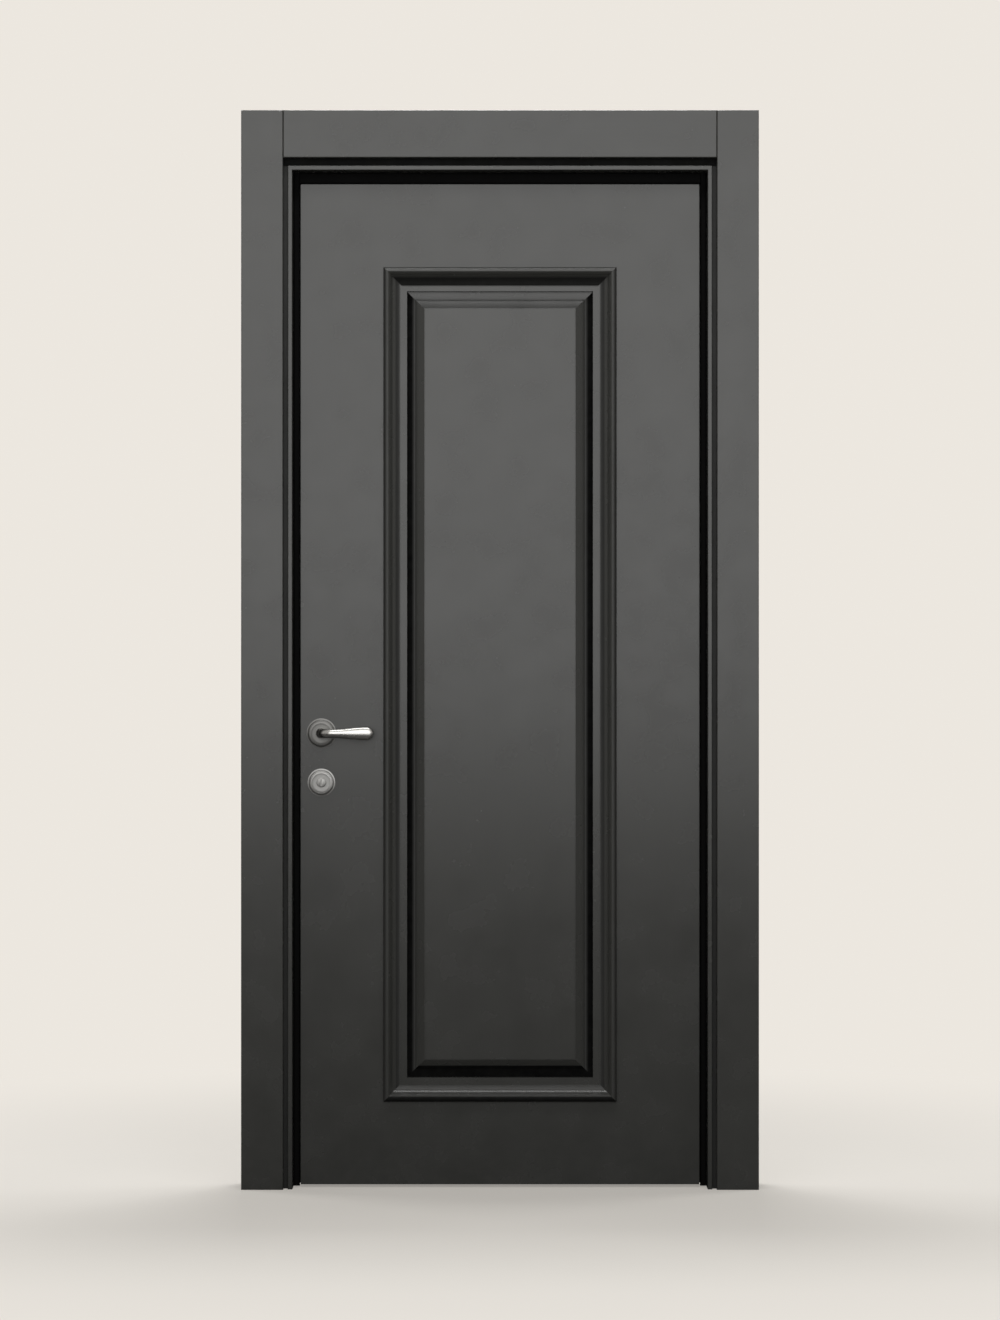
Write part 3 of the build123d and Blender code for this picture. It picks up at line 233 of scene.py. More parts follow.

# %% [markdown]
# The channel between the moulding and the raised field lies in deep shade, nearly black at the sides and
# the foot. That shade is painted: a second, nearly black layer goes over the lacquer where it is wanted.
# It is darker, more matt, and mirrors less, so it is painted shade with a dimmed reflection.


# %% Paint shade over a lacquer
PAINTED_SHADE_BLACK = (0.002, 0.002, 0.002)
PAINTED_SHADE_MIRROR = (0.1, 0.1, 0.1)
PAINTED_SHADE_MATT = 0.6


def paint_shade(material, amount):
    """Paints nearly black, matt shade over a lacquer by an amount from 0 to 1."""
    tree = material.node_tree
    shader = tree.nodes["Principled BSDF"]
    colour = shader.inputs["Base Color"].links[0].from_socket
    sheen = shader.inputs["Roughness"].links[0].from_socket
    shade_unevenness = spread(tree, noise(tree, door_coordinates(tree), 60.0, detail=4.0), 0.2, 0.8, 0.92, 1.0)
    strength = product(tree, amount, shade_unevenness)
    # Painted shade: the colour turns nearly black, the reflection dims and the lacquer gets more matt
    # where the amount is high.
    tree.links.new(laid_over(tree, strength, colour, PAINTED_SHADE_BLACK), shader.inputs["Base Color"])
    matt = spread(tree, strength, 0.0, 1.0, 0.0, PAINTED_SHADE_MATT)
    tree.links.new(combine(tree, "ADD", sheen, matt), shader.inputs["Roughness"])
    tree.links.new(tint(tree, strength, (1, 1, 1), PAINTED_SHADE_MIRROR), shader.inputs["Specular Tint"])


# %% [markdown]
# How much shade is painted depends on how far a point is from the moulding's outer edge, and on which
# of the four sides that edge is. Each side has a list of distances in metres and amounts of painted shade.


# %% Measure from the moulding's outer edge
moulding_low, moulding_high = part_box("front_moulding_left")
moulding_half = -moulding_low.x
moulding_height = moulding_high.z - moulding_low.z


def profile(tree, distance, stops):
    """A value that follows a list of distances in metres and amounts."""
    ramp = tree.nodes.new("ShaderNodeValToRGB")
    reach = stops[-1][0]
    elements = ramp.color_ramp.elements
    elements[0].color = (*[stops[0][1]] * 3, 1)
    elements[1].color = (*[stops[-1][1]] * 3, 1)
    for place, amount in stops[1:-1]:
        elements.new(place / reach).color = (amount, amount, amount, 1)
    tree.links.new(spread(tree, distance, 0.0, reach, 0.0, 1.0), ramp.inputs["Fac"])
    grey = tree.nodes.new("ShaderNodeRGBToBW")
    tree.links.new(ramp.outputs["Color"], grey.inputs["Color"])
    return grey.outputs["Val"]


def framed_lacquer(name, along, side_stops, head_stops, foot_stops):
    """A lacquer with painted shade that follows the distance from the moulding's outer edge on each side.
    """
    material = lacquer(name, along)
    tree = material.node_tree
    place = axes(tree, door_coordinates(tree))
    half, width, tall = moulding_half, 2 * moulding_half, moulding_height
    from_left = spread(tree, place["X"], -half, half, 0.0, width)
    from_right = spread(tree, place["X"], -half, half, width, 0.0)
    from_foot = spread(tree, place["Z"], moulding_low.z, moulding_high.z, 0.0, tall)
    from_head = spread(tree, place["Z"], moulding_low.z, moulding_high.z, tall, 0.0)
    from_side = combine(tree, "MINIMUM", from_left, from_right)
    from_end = combine(tree, "MINIMUM", from_foot, from_head)

    # Painted shade: each point takes the list of the nearest side, head or foot.
    by_head = combine(tree, "LESS_THAN", from_head, from_foot)
    head_shade = product(tree, by_head, profile(tree, from_head, head_stops))
    foot_shade = product(tree, inverse(tree, by_head), profile(tree, from_foot, foot_stops))
    by_side = combine(tree, "LESS_THAN", from_side, from_end)
    side_shade = product(tree, by_side, profile(tree, from_side, side_stops))
    end_shade = product(tree, inverse(tree, by_side), combine(tree, "ADD", head_shade, foot_shade))
    paint_shade(material, combine(tree, "ADD", side_shade, end_shade))
    return material


# %% [markdown]
# On the panel the painted shade is black up to the bevel at the sides and the foot. Under the head the
# channel stays light and the painted shade darkens slowly up the bevel instead.

# %% Make the panel's lacquer with painted shade
panel_lacquer = framed_lacquer(
    "lacquer_panel_painted_shade",
    ALONG_Z,
    side_stops=[(0.0, 1.0), (0.056, 1.0), (0.061, 0.5), (0.066, 0.1), (0.070, 0.0)],
    head_stops=[(0.0, 0.0), (0.056, 0.0), (0.080, 0.45), (0.083, 0.0)],
    foot_stops=[(0.0, 1.0), (0.069, 1.0), (0.072, 0.0), (0.084, 0.0)],
)
print("moulding spans", round(moulding_low.x, 3), "to", round(moulding_half, 3))

# %% [markdown]
# The moulding gets painted shade too: dark lines in the quirk at its outer edge and in the hollow
# halfway in. At the head the edge stays light and the hollow is nearly black. At the foot it is the
# other way round. The lengths that stand up have their grain upright, and the others lie level.

# %% Make the mouldings' lacquers with painted shade
moulding_shade_stops = {
    "side_stops": [
        (0.0, 0.4), (0.007, 0.3), (0.010, 0.0), (0.022, 0.0), (0.026, 0.6), (0.031, 0.5), (0.034, 0.0)
    ],
    "head_stops": [(0.0, 0.0), (0.016, 0.0), (0.021, 0.85), (0.034, 0.85), (0.038, 0.0)],
    "foot_stops": [
        (0.0, 0.9), (0.009, 0.9), (0.013, 0.0), (0.022, 0.0), (0.027, 0.3), (0.030, 0.3), (0.032, 0.0)
    ],
}
upright_moulding = framed_lacquer("lacquer_moulding_upright", ALONG_Z, **moulding_shade_stops)
level_moulding = framed_lacquer("lacquer_moulding_level", ALONG_X, **moulding_shade_stops)

# %% [markdown]
# The quirk beside the nose of the frame lies in shade too, bolder at the head under the casing. The
# lining boards get the same painted shade, but only in that shallow groove: outside the nose, behind its
# front and before the groove's floor.

# %% Make the linings' lacquers
opening_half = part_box("hinge_jamb")[0].x
opening_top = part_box("head_jamb")[0].z
nose_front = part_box("hinge_jamb")[0].y
nose_width = 0.009
shade_edge = 0.0006
quirk_floor = nose_front + 0.014


def lining_lacquer(name, along):
    """A lacquer with painted shade in the quirk beside the frame's nose."""
    material = lacquer(name, along)
    tree = material.node_tree
    place = axes(tree, door_coordinates(tree))
    from_middle = tree.nodes.new("ShaderNodeMath")
    from_middle.operation = "ABSOLUTE"
    tree.links.new(place["X"], from_middle.inputs[0])
    nose_side = opening_half + nose_width
    nose_top = opening_top + nose_width
    past_side = spread(tree, from_middle.outputs["Value"], nose_side, nose_side + shade_edge, 0.0, 1.0)
    past_top = spread(tree, place["Z"], nose_top, nose_top + shade_edge, 0.0, 1.0)
    outside = combine(tree, "MAXIMUM", past_side, past_top)
    behind = spread(tree, place["Y"], nose_front + 0.005, nose_front + 0.010, 0.0, 1.0)
    before = spread(tree, place["Y"], quirk_floor + 0.001, quirk_floor + 0.002, 1.0, 0.0)
    groove = product(tree, outside, product(tree, behind, before))
    # The painted shade is heavier at the head, where the casing above throws its shadow.
    shade_heavier_above = spread(tree, past_top, 0.0, 1.0, 0.45, 0.9)
    paint_shade(material, product(tree, groove, shade_heavier_above))
    return material


upright_lining = lining_lacquer("lacquer_lining_upright", ALONG_Z)
level_lining = lining_lacquer("lacquer_lining_level", ALONG_X)

# %% [markdown]
# ## Black rubber
#
# The seals are extruded, so they carry fine lines along their length, and rubber is matt and takes
# dust. A noise stretched a thousand times along the strip gives the lines for the uprights, and the
# head seal has its own, turned a quarter.


# %% Make the rubber
RUBBER_DARK = (0.002, 0.002, 0.002)
RUBBER_LIGHT = (0.006, 0.006, 0.006)


def seal_rubber(name, along):
    """Matt black rubber with extrusion lines along one axis."""
    material, tree, shader = start_material(name)
    strip = door_coordinates(tree, stretch=stretched(along, 1.0, 900.0))
    lines = noise(tree, strip, 1.0, detail=2.0)
    bloom = noise(tree, door_coordinates(tree), 22.0, detail=5.0)
    tree.links.new(tint(tree, bloom, RUBBER_DARK, RUBBER_LIGHT), shader.inputs["Base Color"])
    tree.links.new(vary(tree, bloom, 0.72, 0.9), shader.inputs["Roughness"])
    tree.links.new(bump(tree, lines, 0.0001), shader.inputs["Normal"])
    shader.inputs["Specular IOR Level"].default_value = 0.08
    print("rubber", name)
    return material


upright_rubber = seal_rubber("rubber_upright", ALONG_Z)
level_rubber = seal_rubber("rubber_level", ALONG_X)

# %% [markdown]
# ## Nickel and steel
#
# The lever is polished nickel, worn soft by hands. The rose and the escutcheon below it are satin:
# they were turned on a lathe, and the tool left rings round their centre. Rings are a pattern of the
# distance from that centre alone. The hinges are brushed along their height, and the lock's box is
# zinc plated sheet with its broken crystals.


# %% Make the metals
NICKEL_DARK = (0.50, 0.493, 0.473)
NICKEL_LIGHT = (0.55, 0.542, 0.52)
ZINC_DARK = (0.42, 0.43, 0.43)
ZINC_LIGHT = (0.58, 0.59, 0.60)
STAIN_SHARE = 0.86


def start_metal(name):
    """A new material whose shader is a bare metal."""
    material, tree, shader = start_material(name)
    shader.inputs["Metallic"].default_value = 1.0
    return material, tree, shader


def stained(tree, pattern, tone):
    """A metal's tone, darker in patches."""
    return tint(tree, pattern, tuple(STAIN_SHARE * part for part in tone), tone)


def polished_nickel(name):
    """Bright plated metal with finger haze and hair scratches along the grip."""
    material, tree, shader = start_metal(name)
    haze = noise(tree, door_coordinates(tree), 55.0, detail=4.0)
    hairs = noise(tree, door_coordinates(tree, stretch=stretched(ALONG_X, 18.0, 1500.0)), 1.0)
    tree.links.new(tint(tree, haze, NICKEL_DARK, NICKEL_LIGHT), shader.inputs["Base Color"])
    tree.links.new(vary(tree, haze, 0.24, 0.29), shader.inputs["Roughness"])
    tree.links.new(bump(tree, hairs, 0.0000002), shader.inputs["Normal"])
    return material


def turned_nickel(name, centre, tone):
    """Satin metal with the rings of the lathe round a centre on the door's face."""
    material, tree, shader = start_metal(name)
    local = door_coordinates(tree, centre=centre)
    flat = axes(tree, local)
    disc = tree.nodes.new("ShaderNodeCombineXYZ")
    tree.links.new(flat["X"], disc.inputs["X"])
    tree.links.new(flat["Z"], disc.inputs["Z"])
    reach = tree.nodes.new("ShaderNodeVectorMath")
    reach.operation = "LENGTH"
    tree.links.new(disc.outputs["Vector"], reach.inputs[0])
    rings_at = tree.nodes.new("ShaderNodeCombineXYZ")
    tree.links.new(reach.outputs["Value"], rings_at.inputs["X"])
    rings = noise(tree, rings_at.outputs["Vector"], 2600.0, detail=2.0)
    haze = noise(tree, local, 70.0)
    tree.links.new(stained(tree, haze, tone), shader.inputs["Base Color"])
    tree.links.new(vary(tree, rings, 0.36, 0.46), shader.inputs["Roughness"])
    tree.links.new(bump(tree, rings, 0.000002), shader.inputs["Normal"])
    return material


def brushed_steel(name, tone, along):
    """Steel brushed along one axis."""
    material, tree, shader = start_metal(name)
    brush = noise(tree, door_coordinates(tree, stretch=stretched(along, 12.0, 1600.0)), 1.0)
    stain = noise(tree, door_coordinates(tree), 40.0, detail=4.0)
    tree.links.new(stained(tree, stain, tone), shader.inputs["Base Color"])
    tree.links.new(vary(tree, brush, 0.28, 0.42), shader.inputs["Roughness"])
    tree.links.new(bump(tree, brush, 0.000001), shader.inputs["Normal"])
    return material


def zinc_sheet(name):
    """Zinc plated sheet, whose crystals catch the light one by one."""
    material, tree, shader = start_metal(name)
    crystals = add_node(tree, "ShaderNodeTexVoronoi", Scale=260.0)
    tree.links.new(door_coordinates(tree), crystals.inputs["Vector"])
    grey = tree.nodes.new("ShaderNodeRGBToBW")
    tree.links.new(crystals.outputs["Color"], grey.inputs["Color"])
    tree.links.new(tint(tree, grey.outputs["Val"], ZINC_DARK, ZINC_LIGHT), shader.inputs["Base Color"])
    tree.links.new(spread(tree, grey.outputs["Val"], 0.0, 1.0, 0.34, 0.5), shader.inputs["Roughness"])
    return material


def centre_of(node):
    """The middle of a node's box."""
    low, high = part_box(node)
    return (low + high) / 2


lever_centre = centre_of("front_rose")
turn_centre = centre_of("front_escutcheon")
nickel = polished_nickel("nickel_polished")
# The rose is the same turned nickel as the escutcheon, with a darker tone as painted shade for the lever's
# shadow on it.
rose_nickel_painted_shade = turned_nickel("nickel_turned_rose_painted_shade", lever_centre, (0.19, 0.188, 0.180))
turn_nickel = turned_nickel("nickel_turned_escutcheon", turn_centre, (0.33, 0.327, 0.317))
hinge_steel = brushed_steel("steel_hinge", (0.56, 0.55, 0.53), ALONG_Z)
screw_steel = brushed_steel("steel_screw", (0.50, 0.49, 0.47), ALONG_Y)
plate_steel = brushed_steel("steel_plate", (0.58, 0.57, 0.54), ALONG_Z)
zinc = zinc_sheet("zinc_sheet")
print("lever axis at", tuple(round(value, 4) for value in lever_centre))

# %% [markdown]
# ## Dress the solids
#
# Every solid that keeps its shape gets its finish through its material slots. The grain of a board
# follows its longer side, which the board's own box tells. Every other finish goes by the name.


# %% Give every carried-over solid its finish
def board_lacquer(node):
    """The lacquer whose grain follows the longer of a board's width and height."""
    low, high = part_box(node)
    upright = high.z - low.z > high.x - low.x
    if node == "panel":
        return panel_lacquer
    if node.endswith("jamb"):
        return upright_lining if upright else level_lining
    if "moulding" in node:
        return upright_moulding if upright else level_moulding
    return upright_lacquer if upright else level_lacquer


finish_by_start = {
    "gasket_head": level_rubber,
    "gasket": upright_rubber,
    "hinge_frame_plate": hinge_steel,
    "hinge_leaf_plate": hinge_steel,
    "hinge_pins": hinge_steel,
    "hinge_frame_screws": screw_steel,
    "hinge_leaf_screws": screw_steel,
    "strike_plate": plate_steel,
    "strike_screws": screw_steel,
    "forend_screws": screw_steel,
    "forend": plate_steel,
    "lock_case": zinc,
    "lock_cover": zinc,
    "latch_spring": screw_steel,
    "latch_bolt": nickel,
    "deadbolt": nickel,
    "front_lever": nickel,
    "back_lever": nickel,
    "front_rose": rose_nickel_painted_shade,
    "back_rose": rose_nickel_painted_shade,
    "front_escutcheon": turn_nickel,
    "back_escutcheon": turn_nickel,
    "release_turn": turn_nickel,
    "thumb_turn": nickel,
    "rose_bolts": screw_steel,
    "escutcheon_bolts": screw_steel,
    "spindle": screw_steel,
    "turn_spindle": screw_steel,
    "lever_follower": zinc,
    "turn_follower": zinc,
}


def finish_for(node):
    """The finish of a node: the longest name in the table that its own name starts with."""
    fitting = [start for start in finish_by_start if node.startswith(start)]
    return finish_by_start[max(fitting, key=len)] if fitting else board_lacquer(node)


for name, solid in nodes.items():
    for slot in solid.material_slots:
        slot.material = finish_for(name)
print("lacquered boards:", sorted(n for n in nodes if finish_for(n) in (upright_lacquer, level_lacquer)))

# %% [markdown]
# ## Screws with a driver's cross
#
# The solids only say where each screw is and how wide its head is. A real countersunk screw has
# a cross-shaped recess. One screw is modelled lying along X: a disc for the head, its inner face
# scaled in to the shank to make the countersink, and that face pushed on to make the shank. Two
# crossed bars, cut away with a Boolean modifier, make the recess. The rest are copies.


# %% Helpers for modelling in edit mode
def clear_selection():
    """Deselects everything, because an operator works on all that is selected."""
    if bpy.context.object and bpy.context.object.mode != "OBJECT":
        bpy.ops.object.mode_set(mode="OBJECT")
    bpy.ops.object.select_all(action="DESELECT")


def pick(thing):
    """Makes one object the active and only selected one."""
    clear_selection()
    thing.select_set(True)
    bpy.context.view_layer.objects.active = thing


def edit(thing):
    """Picks an object and opens it in edit mode."""
    pick(thing)
    bpy.ops.object.mode_set(mode="EDIT")


def select_faces(thing, wanted):
    """In edit mode, selects the faces whose centre and normal satisfy a test."""
    bpy.ops.mesh.select_mode(type="FACE")
    bpy.ops.mesh.select_all(action="DESELECT")
    shape = bmesh.from_edit_mesh(thing.data)
    for face in shape.faces:
        face.select_set(wanted(face.calc_center_median(), face.normal))
    bmesh.update_edit_mesh(thing.data)


def select_edges(thing, wanted):
    """In edit mode, selects the edges that satisfy a test."""
    bpy.ops.mesh.select_mode(type="EDGE")
    bpy.ops.mesh.select_all(action="DESELECT")
    shape = bmesh.from_edit_mesh(thing.data)
    for edge in shape.edges:
        edge.select_set(wanted(edge))
    bmesh.update_edit_mesh(thing.data)


def push_out(x=0.0, y=0.0, z=0.0):
    """In edit mode, extrudes what is selected by a distance."""
    bpy.ops.mesh.extrude_region_move(TRANSFORM_OT_translate={"value": (x, y, z)})


def fix_place():
    """Puts the new object's place, turn and size into its mesh, and returns it."""
    bpy.ops.object.transform_apply(location=True, rotation=True, scale=True)
    return bpy.context.object


def settle(thing, finish):
    """Puts an object's place into its mesh, closes doubles, turns faces out and gives it a finish."""
    pick(thing)
    fix_place()
    bpy.ops.object.mode_set(mode="EDIT")
    bpy.ops.mesh.select_all(action="SELECT")
    bpy.ops.mesh.remove_doubles(threshold=0.000001)
    bpy.ops.mesh.normals_make_consistent(inside=False)
    bpy.ops.object.mode_set(mode="OBJECT")
    bpy.ops.object.shade_smooth_by_angle(angle=math.radians(35))
    thing.data.materials.clear()
    thing.data.materials.append(finish)


# %% [markdown]
# Some moves come back in several pieces: a plain block to cut with, a round blank lying along the
# door's depth, a rim made round, and one shape cut away from another or joined to it.


# %% Blocks, blanks, rims, cuts and joins
def block(place, size, turn=0.0):
    """A box at a place, turned about X."""
    clear_selection()
    bpy.ops.mesh.primitive_cube_add(size=1, location=place, rotation=(turn, 0, 0))
    bpy.context.object.dimensions = size
    return fix_place()


def lathe_blank(place, radius, depth, vertices=64):
    """A cylinder lying along the door's depth."""
    clear_selection()
    lying = (math.radians(90), 0, 0)
    bpy.ops.mesh.primitive_cylinder_add(
        vertices=vertices, radius=radius, depth=depth, location=place, rotation=lying
    )
    return fix_place()


def round_rims(thing, on_face, soft, segments=3):
    """Bevels the rims of the faces whose normal satisfies a test."""
    edit(thing)
    select_faces(thing, lambda middle, normal: on_face(normal))
    bpy.ops.mesh.region_to_loop()
    bpy.ops.mesh.bevel(offset=soft, segments=segments, affect="EDGES")
    bpy.ops.object.mode_set(mode="OBJECT")


def cut_away(thing, tool):
    """Cuts one object's shape out of another and drops it."""
    pick(thing)
    cut = thing.modifiers.new("cut", "BOOLEAN")
    cut.operation = "DIFFERENCE"
    cut.object = tool
    bpy.ops.object.modifier_apply(modifier=cut.name)
    bpy.data.objects.remove(tool)


def join_all(parts):
    """Joins objects into the first of them."""
    clear_selection()
    for part in parts:
        part.select_set(True)
    bpy.context.view_layer.objects.active = parts[0]
    bpy.ops.object.join()
    return parts[0]


# %% [markdown]
# The screw is made at the origin, its head flush with X = 0 and its shank along +X.

# %% Model one screw
head_radius = 0.0037
head_rim = 0.0004
shank_radius = 0.0018
screw_length = 0.025
point_length = 0.003
recess_size = (0.0026, 0.0046, 0.0009)


def model_screw():
    """A countersunk screw with a crossed recess in its head."""
    clear_selection()
    bpy.ops.mesh.primitive_cylinder_add(
        vertices=32,
        radius=head_radius,
        depth=head_rim,
        location=(head_rim / 2, 0, 0),
        rotation=(0, math.radians(90), 0),
    )
    screw = fix_place()
    screw.name = "screw_model"
    sink = head_radius - shank_radius
    edit(screw)
    select_faces(screw, lambda centre, normal: normal.x > 0.9)
    push_out(x=sink - head_rim)
    bpy.ops.transform.resize(value=(1, shank_radius / head_radius, shank_radius / head_radius))
    push_out(x=screw_length - sink - point_length)
    push_out(x=point_length)
    bpy.ops.transform.resize(value=(1, 0.1, 0.1))
    bpy.ops.object.mode_set(mode="OBJECT")
    for turn in (45, 135):
        cut_away(screw, block((head_rim, 0, 0), recess_size, math.radians(turn)))
    settle(screw, screw_steel)
    print("screw faces:", len(screw.data.polygons))
    return screw


screw_model = model_screw()

# %% [markdown]
# ## Put the screws where the solids have theirs
#
# Each hinge plate has three screws, and the strike and the forend have theirs. The plates' boxes give
# the heights. Each group replaces the plain screws of one node, and rides on its body.


# %% Copy the screw to every place and join each group
half_turn = Matrix.Rotation(math.pi, 4, "Z")
quarter_turn = Matrix.Rotation(-math.pi / 2, 4, "Z")
drive = {"+X": Matrix.Identity(4), "-X": half_turn, "-Y": quarter_turn}
turn_per_screw = math.radians(23)


def take_over(piece, body, *replaced):
    """Lets a finished piece ride on a body in place of one or more nodes."""
    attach(piece, body)
    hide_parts(*replaced)
    print(piece.name, "rides on", body, "for", ", ".join(replaced))


def screw_group(name, node, body, places, direction):
    """Copies of the screw at places, driven along a direction, joined into one piece."""
    copies = []
    for index, place in enumerate(places):
        copy = bpy.data.objects.new(f"{name}_{index}", screw_model.data.copy())
        bpy.context.scene.collection.objects.link(copy)
        spin = Matrix.Rotation(turn_per_screw * index, 4, "X")
        copy.data.transform(Matrix.Translation(place) @ drive[direction] @ spin)
        copies.append(copy)
    group = join_all(copies)
    group.name = name
    take_over(group, body, node)


hinge_levels = [centre_of(f"hinge_frame_plate_{level}").z for level in ("bottom", "middle", "top")]
screw_steps = (-0.038, 0.0, 0.038)
screw_line = centre_of("hinge_frame_screws").y
frame_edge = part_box("hinge_frame_screws")[0].x
leaf_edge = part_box("hinge_leaf_screws")[1].x
for name, body, edge, direction in (
    ("hinge_frame_screws", "frame", frame_edge, "+X"),
    ("hinge_leaf_screws", "leaf", leaf_edge, "-X"),
):
    places = [(edge, screw_line, level + step) for level in hinge_levels for step in screw_steps]
    screw_group(f"{name}_cut", name, body, places, direction)

# %% [markdown]
# The strike has a screw between its two windows besides the one at each end. The forend has only
# the two at its ends. The roses and the escutcheons have two bolts each, driven from the back.

# %% Put in the lock's screws and the furniture's bolts
strike_low, strike_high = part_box("strike_screws")
forend_low, forend_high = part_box("forend_screws")
lock_line = (strike_low.y + strike_high.y) / 2
seat_radius = (strike_high.y - strike_low.y) / 2
latch_half, deadbolt_half = 0.013, 0.011
latch_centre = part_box("latch_bolt")[1].z - latch_half
deadbolt_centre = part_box("deadbolt")[1].z - deadbolt_half
strike_heights = (
    strike_low.z + seat_radius, (latch_centre + deadbolt_centre) / 2, strike_high.z - seat_radius
)
forend_heights = (forend_low.z + seat_radius, forend_high.z - seat_radius)
for name, body, edge, heights, direction in (
    ("strike_screws", "frame", strike_high.x, strike_heights, "-X"),
    ("forend_screws", "leaf", forend_low.x, forend_heights, "+X"),
):
    places = [(edge, lock_line, height) for height in heights]
    screw_group(f"{name}_cut", name, body, places, direction)

bolt_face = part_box("rose_bolts")[1].y + 0.0003
bolt_reach = 0.019
for name, centre in (("rose_bolts", lever_centre), ("escutcheon_bolts", turn_centre)):
    places = [(centre.x + side * bolt_reach, bolt_face, centre.z) for side in (-1, 1)]
    screw_group(f"{name}_cut", name, "leaf", places, "-Y")
bpy.data.objects.remove(screw_model)

# %% [markdown]
# ## Turned roses and escutcheons
#
# A rose is turned from bar: a disc with a soft outer edge, a fine groove cut near it, a very slightly
# dished face and a bore for the lever's neck. Each one starts as a cylinder. Its front edge is
# bevelled, and the face is inset and pushed step by step towards the bore.


# %% Turn the four discs
edge_softness = 0.0022
groove_steps = ((0.0022, 0.0), (0.0003, -0.0005), (0.0006, 0.0), (0.0003, 0.0005), (0.0004, 0.0))
dish_depths = (-0.0002, -0.0001)
bore_edge = 0.0003
bore_depth = 0.006
rose_bore = 0.0106
escutcheon_bore = 0.0096


def turned_disc(name, node, face, bore, finish):
    """A turned disc in place of a node, on the leaf's front (-1) or back (1) face."""
    low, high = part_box(node)
    radius = (high.x - low.x) / 2
    disc = lathe_blank((low + high) / 2, radius, high.y - low.y, vertices=96)
    disc.name = name
    round_rims(disc, lambda normal: normal.y * face > 0.9, edge_softness, segments=6)
    edit(disc)
    select_faces(disc, lambda middle, normal: normal.y * face > 0.99)
    for inset, push in groove_steps:
        bpy.ops.mesh.inset(thickness=inset, depth=push)
    remaining = radius - edge_softness - sum(inset for inset, push in groove_steps)
    for push in dish_depths:
        bpy.ops.mesh.inset(thickness=(remaining - bore) / len(dish_depths), depth=push)
    bpy.ops.mesh.inset(thickness=bore_edge, depth=-bore_edge)
    push_out(y=-face * bore_depth)
    bpy.ops.object.mode_set(mode="OBJECT")
    settle(disc, finish)
    take_over(disc, "leaf", node)


for part, bore, finish in (("rose", rose_bore, rose_nickel_painted_shade), ("escutcheon", escutcheon_bore, turn_nickel)):
    for side, face in (("front", -1), ("back", 1)):
        turned_disc(f"{side}_{part}_turned", f"{side}_{part}", face, bore, finish)

# %% [markdown]
# ## The lever
#
# The real lever is cast and polished: a round neck, a tight quarter bend, and a grip that starts slim
# and widens to a rounded end. It is modelled as one skin. A circle is extruded along the neck, its
# outline is squeezed to the grip's, it is turned step by step round the bend's centre, and then drawn
# out along the grip with its height following a smooth curve. The rings get closer at the tip, where
# they shrink on a quarter circle. The back lever is the same, mirrored.

# %% Draw the lever out of a circle
lever_low, lever_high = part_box("front_lever")
neck_start = lever_high.y
neck_length = 0.024
neck_end = neck_start - neck_length
neck_radius = 0.010
squeeze_length = 0.009
squeeze_steps = 5
bend_radius = 0.022
bend_steps = 14
grip_start = lever_centre.x + bend_radius
grip_middle = (grip_start, neck_end - bend_radius, lever_centre.z)
grip_half_height = (0.0085, 0.013)
grip_half_thickness = 0.0055
grip_steps = 16
tip_start = lever_high.x - grip_half_height[1]
tip_turn = math.radians(87)
tip_steps = 12
tip_thinning = 0.7


def draw_neck():
    """A round neck, squeezed to the grip's outline near its end, left open in edit mode."""
    clear_selection()
    bpy.ops.mesh.primitive_circle_add(
        vertices=40,
        radius=neck_radius,
        fill_type="NGON",
        location=(lever_centre.x, neck_start, lever_centre.z),
        rotation=(math.radians(90), 0, 0),
    )
    lever = fix_place()
    edit(lever)
    bpy.ops.mesh.select_all(action="SELECT")
    push_out(y=squeeze_length - neck_length)
    squeeze_x = (grip_half_thickness / neck_radius) ** (1 / squeeze_steps)
    squeeze_z = (grip_half_height[0] / neck_radius) ** (1 / squeeze_steps)
    neck_middle = (lever_centre.x, neck_end, lever_centre.z)
    for step in range(squeeze_steps):
        push_out(y=-squeeze_length / squeeze_steps)
        bpy.ops.transform.resize(value=(squeeze_x, 1, squeeze_z), center_override=neck_middle)
    return lever


def draw_bend():
    """Turns the open end a quarter round the bend's centre. A minus turns it outward."""
    bend_centre = (grip_start, neck_end, lever_centre.z)
    for step in range(bend_steps):
        push_out()
        bpy.ops.transform.rotate(
            value=math.radians(-90 / bend_steps), orient_axis="Z", center_override=bend_centre
        )


def draw_grip():
    """Draws the open end out along the grip, and returns its last half height."""
    slim, full = grip_half_height
    half = slim
    for step in range(1, grip_steps + 1):
        share = step / grip_steps
        wanted = slim + (full - slim) * (1 - math.cos(share * math.pi)) / 2
        push_out(x=(tip_start - grip_start) / grip_steps)
        bpy.ops.transform.resize(value=(1, 1, wanted / half), center_override=grip_middle)
        half = wanted
    return half


def draw_tip(half):
    """Closes the end of the grip on a quarter circle, thinner towards the very end."""
    reached = 0.0
    scale = 1.0
    for step in range(1, tip_steps + 1):
        turn = tip_turn * step / tip_steps
        along = half * math.sin(turn) - reached
        reached += along
        push_out(x=along)
        shrink = math.cos(turn) / scale
        scale = math.cos(turn)
        thin = shrink ** tip_thinning if step < tip_steps else shrink
        bpy.ops.transform.resize(value=(1, thin, shrink), center_override=grip_middle)


